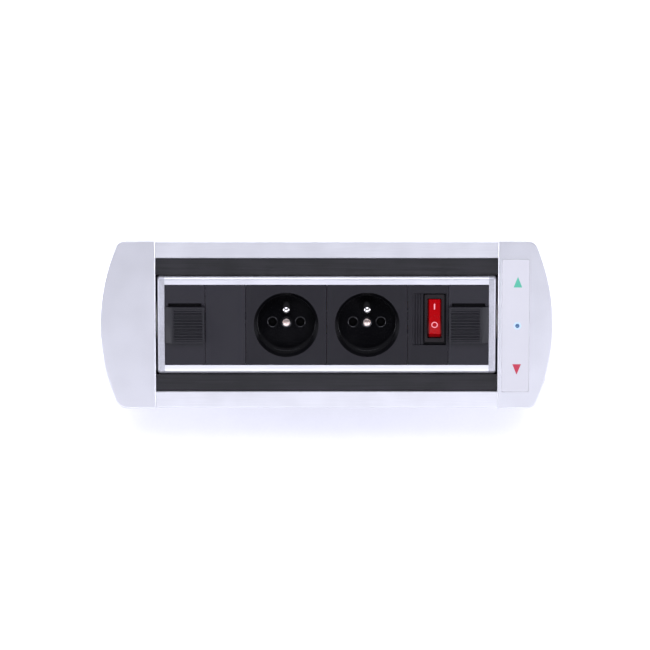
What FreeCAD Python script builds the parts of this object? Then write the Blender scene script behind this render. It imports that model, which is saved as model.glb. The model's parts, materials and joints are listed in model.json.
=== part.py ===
"""Rotating desk socket: a motor turns a row of mains modules face up or face down.

The row is sunk into a worktop. Millimetres, +X along the row, +Y towards the rear rail,
+Z up. The origin is under the middle of the sunken housing. Pieces of the turning drum are
drawn about its axis, with z = 0 on the axis, and are raised to their place when written.
"""

import FreeCAD, Part

import math
import os

Vector = FreeCAD.Vector
ORIGIN = Vector(0, 0, 0)
X_AXIS = Vector(1, 0, 0)
Y_AXIS = Vector(0, 1, 0)
Z_AXIS = Vector(0, 0, 1)

# General clearances and sheet
SHEET = 1.2                 # steel sheet of the housing
HOLE_PLAY = 0.1             # radial play round a screw or rivet
SEAT_PLAY = 0.1             # play beside a piece that drops into its place

# Drum and its modules
MODULE_PITCH = 55.0         # length of a full module along the row
DRUM_MODULES = 4            # full modules in the row, half modules counted as halves
MODULE_GAP = 0.2            # joint between neighbouring modules
DRUM_WIDTH = 67.0
DRUM_HEIGHT = 56.0
DRUM_WALL = 2.0
DRUM_CORNER = 3.0
LIP_WIDTH = 6.0             # bright edge of the drum beside the modules
LIP_THICKNESS = 2.5
MODULE_SINK = 0.5           # module faces lie this far under the lips
MODULE_FLANGE = 2.0         # part of a module that slides under the lips
END_PLATE = 5.0
END_PLATE_ROUND = 2.0
RIB_REACH = 5.5             # inner rib of the drum wall that carries the end modules
RIB_THICKNESS = 1.5
RIB_DROP = 5.5              # from the underside of a lip to the top of the rib
PORT_RADIUS = 3.2           # screw ports of the extrusion
PORT_BORE = 1.6
UPPER_PORT_Z = 10.0

# Frame round the drum
BAND_WIDTH = 12.1           # dark strip between drum and rail
BAND_SINK = 2.0             # its face lies this far under the rail
BAND_THICKNESS = 2.0
BAND_FLANGE = 1.2
BAND_FLANGE_DEPTH = 14.0
SWING_PLAY = 0.42           # radial gap between the turning drum and the strips
RAIL_WIDTH = 11.3
RAIL_LEG = 1.7
RAIL_LEG_DEPTH = 15.0
RAIL_REBATE = 0.5           # room under the flange for the upper edge of the trough
RAIL_EDGE = 0.8
FACE_HEIGHT = 4.0           # face of the rails above the worktop
DRUM_END_GAP = 1.0
CAP_LENGTH = 38.0
CAP_PROUD = 0.5             # caps stand this far out of the rails, above and beside
CAP_END_RADIUS = 132.0
CAP_CORNER = 8.0
CAP_EDGE = 1.0
CAP_WALL = 2.0
CAP_BOSS = 3.2
CAP_BOSS_INSET = 4.8        # from the trough wall to the middle of a boss
FLOOR_PLAY = 2.4            # under the turning drum

# Housing
BRACKET_GAP = 1.0           # from the cap's inner side to the bracket
BRACKET_SHEET = 2.5
BRACKET_RISE = 20.0         # top of a bracket above the axis
BRACKET_FOOT = 10.0
BRACKET_FOOT_HALF = 24.0
BRACKET_SCREW_Y = 16.0      # screws in the foot, from the middle
BRACKET_SHOULDER = 13.0
COMPARTMENT = 17.3          # from a bracket to the end wall
TAB_LENGTH = 10.0
TAB_INSET = 3.6             # tabs and guides stop short of the trough's bends and flange
TROUGH_BEND = 1.2

# Axles and bushes
AXLE_RADIUS = 8.0
AXLE_BORE = 5.0
AXLE_FLANGE = 14.0
AXLE_FLANGE_THICKNESS = 3.0
AXLE_TAIL = 4.5             # axle beyond the bracket at the lead end
AXLE_SCREW_CIRCLE = 11.0
BUSH_WALL = 2.0
BUSH_FLANGE = 3.0
BUSH_FLANGE_THICKNESS = 1.5
BUSH_TAIL = 1.0
RUNNING_PLAY = 0.05
RING_THICKNESS = 1.2
RING_WIDTH = 2.6
RING_GROOVE = 0.6

# Drive
GEAR_MODULE = 1.0
IDLER_TEETH = 26
PINION_TEETH = 14
PRESSURE_ANGLE = math.radians(20.0)
DEDENDUM = 1.25             # depth of the roots below the pitch circle, in modules
GEAR_WIDTH = 5.0
GEAR_GAP = 1.2              # from the bracket to the gears
MESH_PLAY = 0.1             # added to each centre distance
TOOTH_PLAY = 0.12           # each tooth is thinner by this at the pitch circle
GEAR_SEAT = 6.0
GEAR_SEAT_FLAT = 5.0
GEAR_WASHER = 1.0
GEAR_SCREW = 2.0
GEAR_SCREW_HEAD = 3.5
GEAR_SCREW_HEIGHT = 2.0
GEAR_LIGHTENING_HOLES = 5
GEAR_LIGHTENING_RADIUS = 4.0
GEAR_RIM = 3.25             # from the lightening holes to the roots of the teeth
GEAR_INSET = 9.5            # from the side of the drum to the tips of its gear
IDLER_PIN = 2.5
IDLER_HEAD = 4.2
IDLER_HEAD_THICKNESS = 2.0
MOTOR_RADIUS = 7.75
GEARBOX_RADIUS = 8.0
GEARBOX_LENGTH = 20.0
MOTOR_LENGTH = 33.0
MOTOR_INSET = 8.6           # from the trough wall to the motor's axis
MOTOR_RISE = 9.8            # from the trough floor to the motor's axis
MOTOR_SHAFT = 2.0
MOTOR_SHAFT_DEPTH = 5.0     # of the shaft inside the gearbox
MOTOR_SHAFT_END_PLAY = 1.5
MOTOR_NOSE = 3.5
MOTOR_BEARING = 2.0
MOTOR_TAB = 2.0             # width of a motor terminal
MOTOR_TAB_THICKNESS = 0.8
MOTOR_TAB_REACH = 3.0
MOTOR_TAB_OFFSET = 5.5
MOTOR_EDGE = 1.0
MOTOR_SCREW = 1.0           # M2 countersunk
MOTOR_SCREW_HEAD = 1.9
MOTOR_SCREW_LENGTH = 5.5
MOTOR_SCREW_CIRCLE = 5.8

# Sockets
CUP_RADIUS = 19.85
CUP_MOUTH = 22.0
CUP_DEPTH = 15.0
CUP_WALL = 2.55
CUP_FLOOR = 3.0
PIN_SPACING = 19.0
PIN_HOLE = 2.6
PIN_DISH = 3.4
PIN_DISH_DEPTH = 0.6
EARTH_PIN_RADIUS = 2.4
EARTH_PIN_LENGTH = 14.0
EARTH_PIN_OFFSET = 10.0
EARTH_PIN_TIP = 1.2
EARTH_PIN_NECK = 2.0        # thinner part through the cup floor and the earth bar
EARTH_PIN_COLLAR = 3.4
EARTH_PIN_TAIL = 1.0        # through the earth bar
CENTRE_BOSS = 3.4
CENTRE_BOSS_HEIGHT = 1.2
CENTRE_SCREW_HEAD = 2.5
CENTRE_SCREW_HEIGHT = 1.6
CENTRE_SCREW_SLOT = 0.8
LEAD_SPACE = 10.0           # left for the lead between the socket backs and the drum's floor
SOCKET_BACK_WALL = 2.0
POST_RADIUS = 3.2
SHUTTER_THICKNESS = 1.4
SHUTTER_PLAY = 0.3          # above, below and beside a shutter
SHUTTER_HALF = 13.2         # along the row
SHUTTER_WING = 3.2          # half the width of its wings, a little over a pin hole
SHUTTER_BRIDGE = 4.4        # width of the bar that joins the wings

# Conductors in the drum
BAR_THICKNESS = 1.0
BAR_WIDTH = 5.5
BAR_OFFSET = 7.25           # from the row of pin holes to the middle of the bars
LINE_BAR_DROP = 11.5        # from the underside of the cup floor to the line bar
NEUTRAL_BAR_DROP = 16.5
EARTH_BAR_DROP = 7.5
BAR_SLOT_PLAY = 1.0         # round the bars in the slots of the socket backs
EARTH_BAR_WIDTH = 6.0
BAR_TAIL = 6.0
SLEEVE_WALL = 0.75
SLEEVE_PLAY = 0.2
LEAD_RADIUS = 2.8
LEAD_RISE = 6.0             # of the lead above the drum's floor
LEAD_STRAIGHT = 11.0        # straight part inside the hollow axle and its flange
LEAD_SLOPE = 16.0           # length over which the lead goes down to the floor
CORE_RADIUS = 0.9
CORE_CIRCLE = 1.3           # circle of the three cores in the lead
CORE_STRIP = 6.0            # straight cores beyond the end of the sheath
CORE_RISE = 6.0             # height over which the cores spread to their terminals
WIRE_DROP = 4.0             # of a wire below the blade that it leaves
WIRE_SPREAD = 3.5           # sideways, so that wires and cores pass each other

# Rocker switch, placed from the start of its module
SWITCH_CENTRE_X = 18.1
SWITCH_CENTRE_Y = 4.5
BEZEL_LENGTH = 32.5
BEZEL_WIDTH = 13.3
BEZEL_THICKNESS = 2.0
BEZEL_ROUND = 1.0
SWITCH_BODY_LENGTH = 29.8
SWITCH_BODY_WIDTH = 12.0
SWITCH_BODY_DEPTH = 22.0
SWITCH_WINDOW_PLAY = 0.2
POCKET_START = 3.2          # shallow pocket round the switch, from the start of its module
POCKET_END = 26.1
POCKET_FRONT = -13.8
POCKET_REAR = 21.4
POCKET_DEPTH = 2.0
FILLER_GAP = 0.9            # from the ribbed filler of the pocket to the switch
FILLER_HEIGHT = 1.2
FILLER_GROOVES = 3
FILLER_GROOVE_WIDTH = 0.6
FILLER_GROOVE_DEPTH = 0.5
ROCKER_RADIUS = 13.2
ROCKER_WIDTH = 9.4
ROCKER_PLAY = 0.15
ROCKER_SWEEP_PLAY = 0.3
ROCKER_TRAVEL = 28.6        # degrees from one pressed end to the other
ROCKER_RIDGE = 3.3          # from the pivot to the fold between the two halves
ROCKER_SKIRT = 2.0
ROCKER_WELL = 9.0
PIVOT_DROP = 3.0            # from the bezel's face to the pivot
PIVOT_RADIUS = 1.2
PIVOT_REACH = 0.9
BLADE_SPACING_X = 6.0
BLADE_SPACING_Y = 18.0
BLADE_WIDTH = 6.3
BLADE_THICKNESS = 0.8
BLADE_LENGTH = 8.0

# Sliding catches in the end modules
CATCH_HALF = 12.5
CATCH_TRAVEL = 1.7
CATCH_RISE = 3.6            # ribbed top above its underside
CATCH_FACE_PLAY = 0.2
CATCH_SLOPE = 4.6
CATCH_EDGE = 0.5
CATCH_END_GAP = 0.3
CATCH_RIBS = 9
CATCH_RIB_PITCH = 2.2
CATCH_RIB_HEIGHT = 0.8
CATCH_RIB_FOOT = 0.9        # half widths of a rib at its foot and its crest
CATCH_RIB_CREST = 0.35
CATCH_FIELD_BORDER = 1.5
CATCH_SLOT_PLAY = 0.4       # of the open slot behind the catch, beyond its travel
CATCH_NECK_INSET = 2.6
CATCH_NECK_PLAY = 0.4
CATCH_CARRIER = 2.7
CATCH_CARRIER_INSET = 1.0
CATCH_CARRIER_PLAY = 0.3
CATCH_CARRIER_REAR = 14.0
CATCH_BOLT_GRIP = 1.6       # bolt under the rib
CATCH_BOLT_PLAY = 0.3
CATCH_BOLT = 2.7
CATCH_LEG = 2.3
END_MODULE_LEG = 2.0
END_MODULE_HOOK = 2.0

# Touch panel
PANEL_START = 2.8           # from the cap's inner side
PANEL_WIDTH = 18.7
PANEL_FRONT = -45.9
PANEL_REAR = 45.0
PANEL_SINK = 0.7
PANEL_ROUND = 1.0
BOARD_THICKNESS = 1.2
TOUCH_BOARD_LENGTH = 74.0
TOUCH_BOARD_INSET = 1.3
LED_OFFSET = 1.2            # from the middle of the panel
LED_Y = -0.5
LED_RADIUS = 1.0
LED_PLAY = 0.15
LED_ROUND = 0.3

# Clamps
DESK_THICKNESS = 25.0       # worktop that the claws stand at when at rest
CLAW_SHEET = 2.0
CLAW_HALF = 9.0
CLAW_REACH = 12.0
CLAW_DROP = 35.0            # leg below the foot's face
CLAW_UP = 12.0
CLAW_DOWN = 8.0
CLAW_BEND = 2.0
CLAW_PLAY = 0.1
CLAMP_SCREW_DROP = 19.0     # from the claw's foot at rest down to its screw
CLAMP_SCREW = 2.0
CLAMP_HEAD = 4.5
CLAMP_HEAD_HEIGHT = 3.0
CLAMP_COLLAR = 2.0
HEX_KEY = 3.0               # key of the clamp screws and the gear screw
GUIDE_HEIGHT = 1.5
GUIDE_WIDTH = 1.5
GUIDE_PLAY = 0.3

# Cable gland, M12
GLAND_Y = 26.0
GLAND_Z = 22.0
GLAND_THREAD = 6.0
GLAND_HEX = 15.0            # across the flats
GLAND_HEX_THICKNESS = 4.0
GLAND_TAIL = 8.0
GLAND_NECK = 5.6
GLAND_NECK_LENGTH = 5.0
GLAND_BORE = 3.6
GLAND_SEAL_BORE = 3.2
GLAND_SEAL = 4.8
GLAND_CUP = 4.0
GLAND_NUT_LENGTH = 9.0
GLAND_NUT_FACE = 3.0
GLAND_NUT_RIM = 1.5         # round the bore at the end of the dome
GLAND_LOCKNUT = 3.0

# Screws, M3 pan head
SCREW_RADIUS = 1.5
SCREW_HEAD = 2.8
SCREW_HEAD_HEIGHT = 2.0
DRUM_SCREW_LENGTH = 10.0
RAIL_SCREW_DROP = 8.0
RAIL_SCREW_PITCH = 60.0
RAIL_SCREWS = 4

# Electronics in the housing
CONTROL_BOARD_HALF = 50.0
CONTROL_BOARD_HEIGHT = 26.0
CONTROL_BOARD_RISE = 3.0
CONTROL_BOARD_SPACER = 1.7
SPACER_RADIUS = 2.5
COMPONENT_HEIGHT = 7.0
COMPONENT_MARGIN = 2.0      # from the board's lower edge and between components
TRANSFORMER = (22.0, 15.0)  # along the board and up it
RELAY = (18.0, 12.0)
CONNECTOR = (12.0, 9.0)
CAPACITOR_RADIUS = 4.5
SPACER_INSET = 5.0          # of the spacers from the board's edges
BLOCK_LENGTH = 12.0
BLOCK_WIDTH = 15.0
BLOCK_HEIGHT = 12.0
BLOCK_Y = -42.0
BLOCK_POLES = 3
BLOCK_WELL = 1.7
BLOCK_GAP = 2.4             # from the end wall
LEAD_WALL_GAP = 1.2         # from the end wall to the lead that passes it
LEAD_DROP = 16.0            # first run of that lead down the end wall
LEAD_ARCH = 6.0             # height at which it comes over the terminals
LEAD_STEPS = (-2.0, -12.0, -20.0)   # its places across the housing on the way down

# Sizes that follow from those above
DRUM_HALF = DRUM_WIDTH / 2
DRUM_TOP = DRUM_HEIGHT / 2
DRUM_CAVITY = DRUM_HALF - DRUM_WALL
DRUM_FLOOR = -DRUM_TOP + DRUM_WALL
DRUM_HALF_LENGTH = MODULE_PITCH * DRUM_MODULES / 2
DRUM_END = DRUM_HALF_LENGTH + END_PLATE
SLOT_HALF = DRUM_HALF - LIP_WIDTH
LIP_UNDER = DRUM_TOP - LIP_THICKNESS
MODULE_FACE = DRUM_TOP - MODULE_SINK
MODULE_UNDER = LIP_UNDER - MODULE_FLANGE
RIB_TOP = LIP_UNDER - RIB_DROP
RIB_UNDER = RIB_TOP - RIB_THICKNESS
RIB_INNER = DRUM_CAVITY - RIB_REACH
PORT_Y = DRUM_CAVITY - PORT_RADIUS
LOWER_PORT_Z = DRUM_FLOOR + PORT_RADIUS
DRUM_TEETH = 2 * round((DRUM_HALF - GEAR_INSET) / GEAR_MODULE - 1)
GEAR_LIGHTENING_CIRCLE = GEAR_MODULE * (DRUM_TEETH / 2 - DEDENDUM) - GEAR_RIM - GEAR_LIGHTENING_RADIUS
SWING_RADIUS = math.hypot(DRUM_HALF - DRUM_CORNER, DRUM_TOP - DRUM_CORNER) + DRUM_CORNER
AXIS_Z = SHEET + FLOOR_PLAY + SWING_RADIUS

FACE_Z = AXIS_Z + DRUM_TOP
DESK_Z = FACE_Z - FACE_HEIGHT
BAND_Z = FACE_Z - BAND_SINK
RAIL_INNER = DRUM_HALF + BAND_WIDTH
RAIL_OUTER = RAIL_INNER + RAIL_WIDTH
TROUGH_INNER = RAIL_INNER + RAIL_LEG
TROUGH_OUTER = TROUGH_INNER + SHEET
CAP_INNER_X = DRUM_END + DRUM_END_GAP
CAP_TIP_X = CAP_INNER_X + CAP_LENGTH
CAP_HALF = RAIL_OUTER + CAP_PROUD
CAP_TOP = FACE_Z + CAP_PROUD
CAP_UNDER = CAP_TOP - CAP_WALL
BRACKET_X = CAP_INNER_X + BRACKET_GAP
BRACKET_OUT = BRACKET_X + BRACKET_SHEET
WALL_X = BRACKET_OUT + COMPARTMENT
WALL_OUT = WALL_X + SHEET
GEAR_X = BRACKET_OUT + GEAR_GAP
GEAR_END = GEAR_X + GEAR_WIDTH
FRAME_SCREW_LENGTH = BRACKET_SHEET + SHEET
BOSS_X = WALL_X - TAB_LENGTH / 2
BOSS_Y = TROUGH_INNER - CAP_BOSS_INSET

CUP_FLOOR_Z = MODULE_FACE - CUP_DEPTH
CUP_UNDER = CUP_FLOOR_Z - CUP_FLOOR
CUP_OUTER = CUP_RADIUS + CUP_WALL
SOCKET_BACK_Z = DRUM_FLOOR + LEAD_SPACE
LEAD_Z = DRUM_FLOOR + LEAD_RISE
SLEEVE_TOP = CUP_UNDER - SHUTTER_THICKNESS - SHUTTER_PLAY * 2
SOCKET_CENTRES = (-MODULE_PITCH / 2, MODULE_PITCH / 2)
LINE_BAR_Z = CUP_UNDER - LINE_BAR_DROP
NEUTRAL_BAR_Z = CUP_UNDER - NEUTRAL_BAR_DROP
EARTH_BAR_Z = CUP_UNDER - EARTH_BAR_DROP
SWITCH_X = MODULE_PITCH + SWITCH_CENTRE_X
POCKET_Z = MODULE_FACE - POCKET_DEPTH
PIVOT_Z = POCKET_Z + BEZEL_THICKNESS - PIVOT_DROP
BLADE_END_Z = POCKET_Z - SWITCH_BODY_DEPTH - BLADE_LENGTH
CATCH_X = MODULE_PITCH * 1.5
PANEL_X = CAP_INNER_X + PANEL_START
LED_X = PANEL_X + PANEL_WIDTH / 2 + LED_OFFSET
CLAW_FOOT_Z = DESK_Z - DESK_THICKNESS
CLAMP_SCREW_Z = CLAW_FOOT_Z - CLAMP_SCREW_DROP

MOTOR_Y = -(TROUGH_INNER - MOTOR_INSET)
MOTOR_Z = SHEET + MOTOR_RISE - AXIS_Z


def box(x_start, x_end, y_start, y_end, z_start, z_end):
    """Block between two corners."""
    size = (x_end - x_start, y_end - y_start, z_end - z_start)
    return Part.makeBox(*size, Vector(x_start, y_start, z_start))


def rod(radius, x_start, x_end, y=0.0, z=0.0):
    """Round bar along X."""
    return Part.makeCylinder(radius, x_end - x_start, Vector(x_start, y, z), X_AXIS)


def tube(outer, inner, x_start, x_end, y=0.0, z=0.0):
    """Round tube along X."""
    return rod(outer, x_start, x_end, y, z).cut(rod(inner, x_start, x_end, y, z))


def post(radius, x, y, z_start, z_end):
    """Round bar along Z."""
    return Part.makeCylinder(radius, z_end - z_start, Vector(x, y, z_start), Z_AXIS)


def cone(lower_radius, upper_radius, x, y, z_start, z_end):
    """Cone along Z."""
    return Part.makeCone(lower_radius, upper_radius, z_end - z_start, Vector(x, y, z_start), Z_AXIS)


def hexagon(across_flats, x_start, x_end, y, z):
    """Hexagonal bar along X."""
    corner = across_flats / 2 / math.cos(math.pi / 6)
    angles = [side * math.pi / 3 for side in range(6)]
    outline = [(y + corner * math.cos(angle), z + corner * math.sin(angle)) for angle in angles]
    return prism_x(outline, x_start, x_end)


def prism_x(outline, x_start, x_end):
    """Bar along X from the (y, z) corners of its section."""
    corners = [Vector(x_start, y, z) for y, z in outline]
    face = Part.Face(Part.makePolygon(corners + corners[:1]))
    return face.extrude(Vector(x_end - x_start, 0, 0))


def prism_y(outline, y_start, y_end):
    """Bar along Y from the (x, z) corners of its section."""
    corners = [Vector(x, y_start, z) for x, z in outline]
    face = Part.Face(Part.makePolygon(corners + corners[:1]))
    return face.extrude(Vector(0, y_end - y_start, 0))


def edges_along(shape, direction, chosen=lambda middle: True):
    """Straight edges of a shape along a direction, whose middle point passes a test."""
    found = []
    for edge in shape.Edges:
        if edge.Curve.TypeId != "Part::GeomLine":
            continue
        run = edge.Vertexes[-1].Point - edge.Vertexes[0].Point
        if abs(run.normalize().dot(direction)) > 0.999 and chosen(edge.CenterOfMass):
            found.append(edge)
    return found


def edges_at(shape, axis, place):
    """Edges of a shape that lie in the plane where a coordinate has one value."""
    found = []
    for edge in shape.Edges:
        low = getattr(edge.BoundBox, axis + "Min")
        high = getattr(edge.BoundBox, axis + "Max")
        if abs(low - place) < 1e-4 and abs(high - place) < 1e-4:
            found.append(edge)
    return found


def rounded(shape, radius, direction, chosen=lambda middle: True):
    """Shape with its edges along a direction rounded."""
    return shape.makeFillet(radius, edges_along(shape, direction, chosen))


def joined(first, *others):
    """One solid from pieces that meet."""
    return first.multiFuse(list(others)).removeSplitter()


def group(solids):
    """Like pieces that are kept together but stay separate."""
    return Part.makeCompound(solids)


def mirror_x(shape):
    """The same piece at the other end of the row."""
    return shape.mirror(ORIGIN, X_AXIS)


def mirror_y(shape):
    """The same piece on the other side of the row."""
    return shape.mirror(ORIGIN, Y_AXIS)


def on_axis(shape):
    """Piece of the drum, raised from the axis to its place."""
    return shape.translated(Vector(0, 0, AXIS_Z))


def pan_screw(head_face, direction, length):
    """M3 pan-head screw: the head's underside is at head_face, the shank runs along direction."""
    back = Vector(direction).multiply(-SCREW_HEAD_HEIGHT)
    head = Part.makeCylinder(SCREW_HEAD, SCREW_HEAD_HEIGHT, head_face + back, direction)
    return head.fuse(Part.makeCylinder(SCREW_RADIUS, length, head_face, direction))


def swing_clear(z):
    """Least y, at a height on the axis, that the turning drum stays clear of."""
    return math.sqrt((SWING_RADIUS + SWING_PLAY) ** 2 - z ** 2)


def screw_places():
    """Places along the rails of the screws that hold rail, strip and trough together."""
    first = -RAIL_SCREW_PITCH * (RAIL_SCREWS - 1) / 2
    return [first + RAIL_SCREW_PITCH * number for number in range(RAIL_SCREWS)]


def rail_screw_holes(y_start, y_end):
    """Drills through whatever the rail screws pass at the rear."""
    height = DESK_Z - RAIL_SCREW_DROP
    radius = SCREW_RADIUS + HOLE_PLAY
    length = y_end - y_start
    return [Part.makeCylinder(radius, length, Vector(x, y_start, height), Y_AXIS) for x in screw_places()]


# Frame

def rear_rail():
    """Extruded rail: flange on the worktop, rebate over the trough, leg down inside it."""
    outline = [
        (RAIL_INNER, DESK_Z - RAIL_LEG_DEPTH),
        (RAIL_INNER, FACE_Z),
        (RAIL_OUTER, FACE_Z),
        (RAIL_OUTER, DESK_Z),
        (TROUGH_OUTER + SEAT_PLAY, DESK_Z),
        (TROUGH_OUTER + SEAT_PLAY, DESK_Z + RAIL_REBATE),
        (TROUGH_INNER, DESK_Z + RAIL_REBATE),
        (TROUGH_INNER, DESK_Z - RAIL_LEG_DEPTH),
    ]
    bar = prism_x(outline, -CAP_INNER_X, CAP_INNER_X)
    bar = rounded(bar, RAIL_EDGE, X_AXIS, lambda m: m.z > FACE_Z - 0.1 and m.y > RAIL_OUTER - 0.1)
    inner_edge = edges_along(bar, X_AXIS, lambda m: m.z > FACE_Z - 0.1 and m.y < RAIL_INNER + 0.1)
    bar = bar.makeChamfer(RAIL_EDGE / 2, inner_edge)
    return bar.cut(rail_screw_holes(RAIL_INNER, TROUGH_INNER))


def lip_strips():
    """Dark strips between drum and rails, cut back to follow the swing of the drum."""
    top = BAND_Z
    under = BAND_Z - BAND_THICKNESS
    foot = under - BAND_FLANGE_DEPTH
    outline = [
        (swing_clear(top - AXIS_Z), top),
        (RAIL_INNER, top),
        (RAIL_INNER, foot),
        (RAIL_INNER - BAND_FLANGE, foot),
        (RAIL_INNER - BAND_FLANGE, under),
        (swing_clear(under - AXIS_Z), under),
    ]
    strip = prism_x(outline, -CAP_INNER_X, CAP_INNER_X)
    strip = strip.cut(rail_screw_holes(RAIL_INNER - BAND_FLANGE, RAIL_INNER))
    return group([strip, mirror_y(strip)])


def cap_block(inset, z_start, z_end):
    """Plan of an end cap: straight inner side, wide arc at the end, rounded corners."""
    inner_x = CAP_INNER_X + inset
    half = CAP_HALF - inset
    radius = CAP_END_RADIUS - inset
    centre_x = CAP_TIP_X - CAP_END_RADIUS
    corner_x = centre_x + math.sqrt(radius ** 2 - half ** 2)
    front = Vector(corner_x, -half, z_start)
    tip = Vector(centre_x + radius, 0, z_start)
    rear = Vector(corner_x, half, z_start)
    inner_rear = Vector(inner_x, half, z_start)
    inner_front = Vector(inner_x, -half, z_start)
    edges = [
        Part.LineSegment(inner_front, front).toShape(),
        Part.Arc(front, tip, rear).toShape(),
        Part.LineSegment(rear, inner_rear).toShape(),
        Part.LineSegment(inner_rear, inner_front).toShape(),
    ]
    block = Part.Face(Part.Wire(edges)).extrude(Vector(0, 0, z_end - z_start))
    return rounded(block, CAP_CORNER - inset, Z_AXIS, lambda m: m.x > inner_x + 1)


def plain_cap():
    """Moulded cap over an end compartment, hollow underneath, with two screw bosses."""
    cap = cap_block(0, DESK_Z, CAP_TOP)
    cap = cap.makeFillet(CAP_EDGE, edges_at(cap, "Z", CAP_TOP))
    cap = cap.cut(cap_block(CAP_WALL, DESK_Z, CAP_UNDER))
    boss_top = CAP_UNDER + CAP_WALL / 2
    bosses = [post(CAP_BOSS, BOSS_X, side * BOSS_Y, DESK_Z, boss_top) for side in (-1, 1)]
    drill = SCREW_RADIUS + HOLE_PLAY
    top = DESK_Z - SHEET + FRAME_SCREW_LENGTH + HOLE_PLAY
    drills = [post(drill, BOSS_X, side * BOSS_Y, DESK_Z, top) for side in (-1, 1)]
    return joined(cap, *bosses).cut(drills)


def panel_block(play, z_start, z_end):
    """Plan of the touch panel, smaller by the play all round."""
    front = PANEL_FRONT + play
    rear = PANEL_REAR - play
    block = box(PANEL_X + play, PANEL_X + PANEL_WIDTH - play, front, rear, z_start, z_end)
    return rounded(block, PANEL_ROUND, Z_AXIS)


def right_end_cap():
    """Cap with the pocket of the touch panel and the hole of its light."""
    pocket = panel_block(0, CAP_TOP - PANEL_SINK, CAP_TOP + 1)
    light = post(LED_RADIUS + LED_PLAY, LED_X, LED_Y, CAP_UNDER, CAP_TOP)
    return plain_cap().cut([pocket, light])


def touch_panel():
    """Thin glossy panel that lies flush in the right cap."""
    plate = panel_block(SEAT_PLAY, CAP_TOP - PANEL_SINK, CAP_TOP)
    return plate.cut(post(LED_RADIUS + LED_PLAY, LED_X, LED_Y, CAP_UNDER, CAP_TOP))


def touch_board():
    """Circuit board of the touch keys, under the cap."""
    start = PANEL_X + TOUCH_BOARD_INSET
    end = PANEL_X + PANEL_WIDTH - TOUCH_BOARD_INSET
    half = TOUCH_BOARD_LENGTH / 2
    return box(start, end, -half, half, CAP_UNDER - BOARD_THICKNESS, CAP_UNDER)


def status_led():
    """Small round light that stands on the touch board and ends flush with the panel."""
    light = post(LED_RADIUS, LED_X, LED_Y, CAP_UNDER, CAP_TOP)
    return light.makeFillet(LED_ROUND, edges_at(light, "Z", CAP_TOP))


# Housing

def housing_trough():
    """Folded sheet trough, open at both ends and at the top."""
    outer = box(-WALL_X, WALL_X, -TROUGH_OUTER, TROUGH_OUTER, 0, DESK_Z)
    outer = rounded(outer, TROUGH_BEND + SHEET, X_AXIS, lambda m: m.z < 1)
    inner = box(-WALL_X, WALL_X, -TROUGH_INNER, TROUGH_INNER, SHEET, DESK_Z)
    inner = rounded(inner, TROUGH_BEND, X_AXIS, lambda m: m.z < SHEET + 1)
    trough = outer.cut(inner)
    rear_holes = rail_screw_holes(TROUGH_INNER, TROUGH_OUTER)
    front_holes = [mirror_y(hole) for hole in rear_holes]
    floor_holes = [post(SCREW_RADIUS + HOLE_PLAY, x, y, 0, SHEET) for x, y in foot_screws()]
    return trough.cut(rear_holes + front_holes + floor_holes)


def foot_screws():
    """Places of the screws through the bracket feet."""
    middle = BRACKET_OUT + BRACKET_FOOT / 2
    return [(side * middle, y) for side in (-1, 1) for y in (-BRACKET_SCREW_Y, BRACKET_SCREW_Y)]


def right_end_wall():
    """Folded sheet end wall: side tabs, a top flange under the cap, guides for the claw."""
    wall = box(WALL_X, WALL_OUT, -TROUGH_OUTER, TROUGH_OUTER, 0, DESK_Z)
    tab_start = WALL_X - TAB_LENGTH
    tab = box(tab_start, WALL_X, TROUGH_INNER - SHEET, TROUGH_INNER, TAB_INSET, DESK_Z - TAB_INSET)
    flange = box(tab_start, WALL_X, -TROUGH_INNER + SHEET, TROUGH_INNER - SHEET, DESK_Z - SHEET, DESK_Z)
    guide_y = CLAW_HALF + GUIDE_PLAY
    guide_end = WALL_OUT + GUIDE_HEIGHT
    guide = box(WALL_OUT, guide_end, guide_y, guide_y + GUIDE_WIDTH, TAB_INSET, DESK_Z - TAB_INSET - SHEET)
    collar = rod(CLAMP_SCREW + SHEET, WALL_X - CLAMP_COLLAR, WALL_X, 0, CLAMP_SCREW_Z)
    wall = joined(wall, tab, mirror_y(tab), flange, guide, mirror_y(guide), collar)
    screw_hole = rod(CLAMP_SCREW + HOLE_PLAY, WALL_X - CLAMP_COLLAR, WALL_OUT, 0, CLAMP_SCREW_Z)
    drill = SCREW_RADIUS + HOLE_PLAY
    cap_holes = [post(drill, BOSS_X, side * BOSS_Y, DESK_Z - SHEET, DESK_Z) for side in (-1, 1)]
    return wall.cut([screw_hole] + cap_holes)


def left_end_wall():
    """End wall with the hole of the cable gland."""
    hole = rod(GLAND_THREAD + HOLE_PLAY, -WALL_OUT, -WALL_X, GLAND_Y, GLAND_Z)
    return mirror_x(right_end_wall()).cut(hole)


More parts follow.
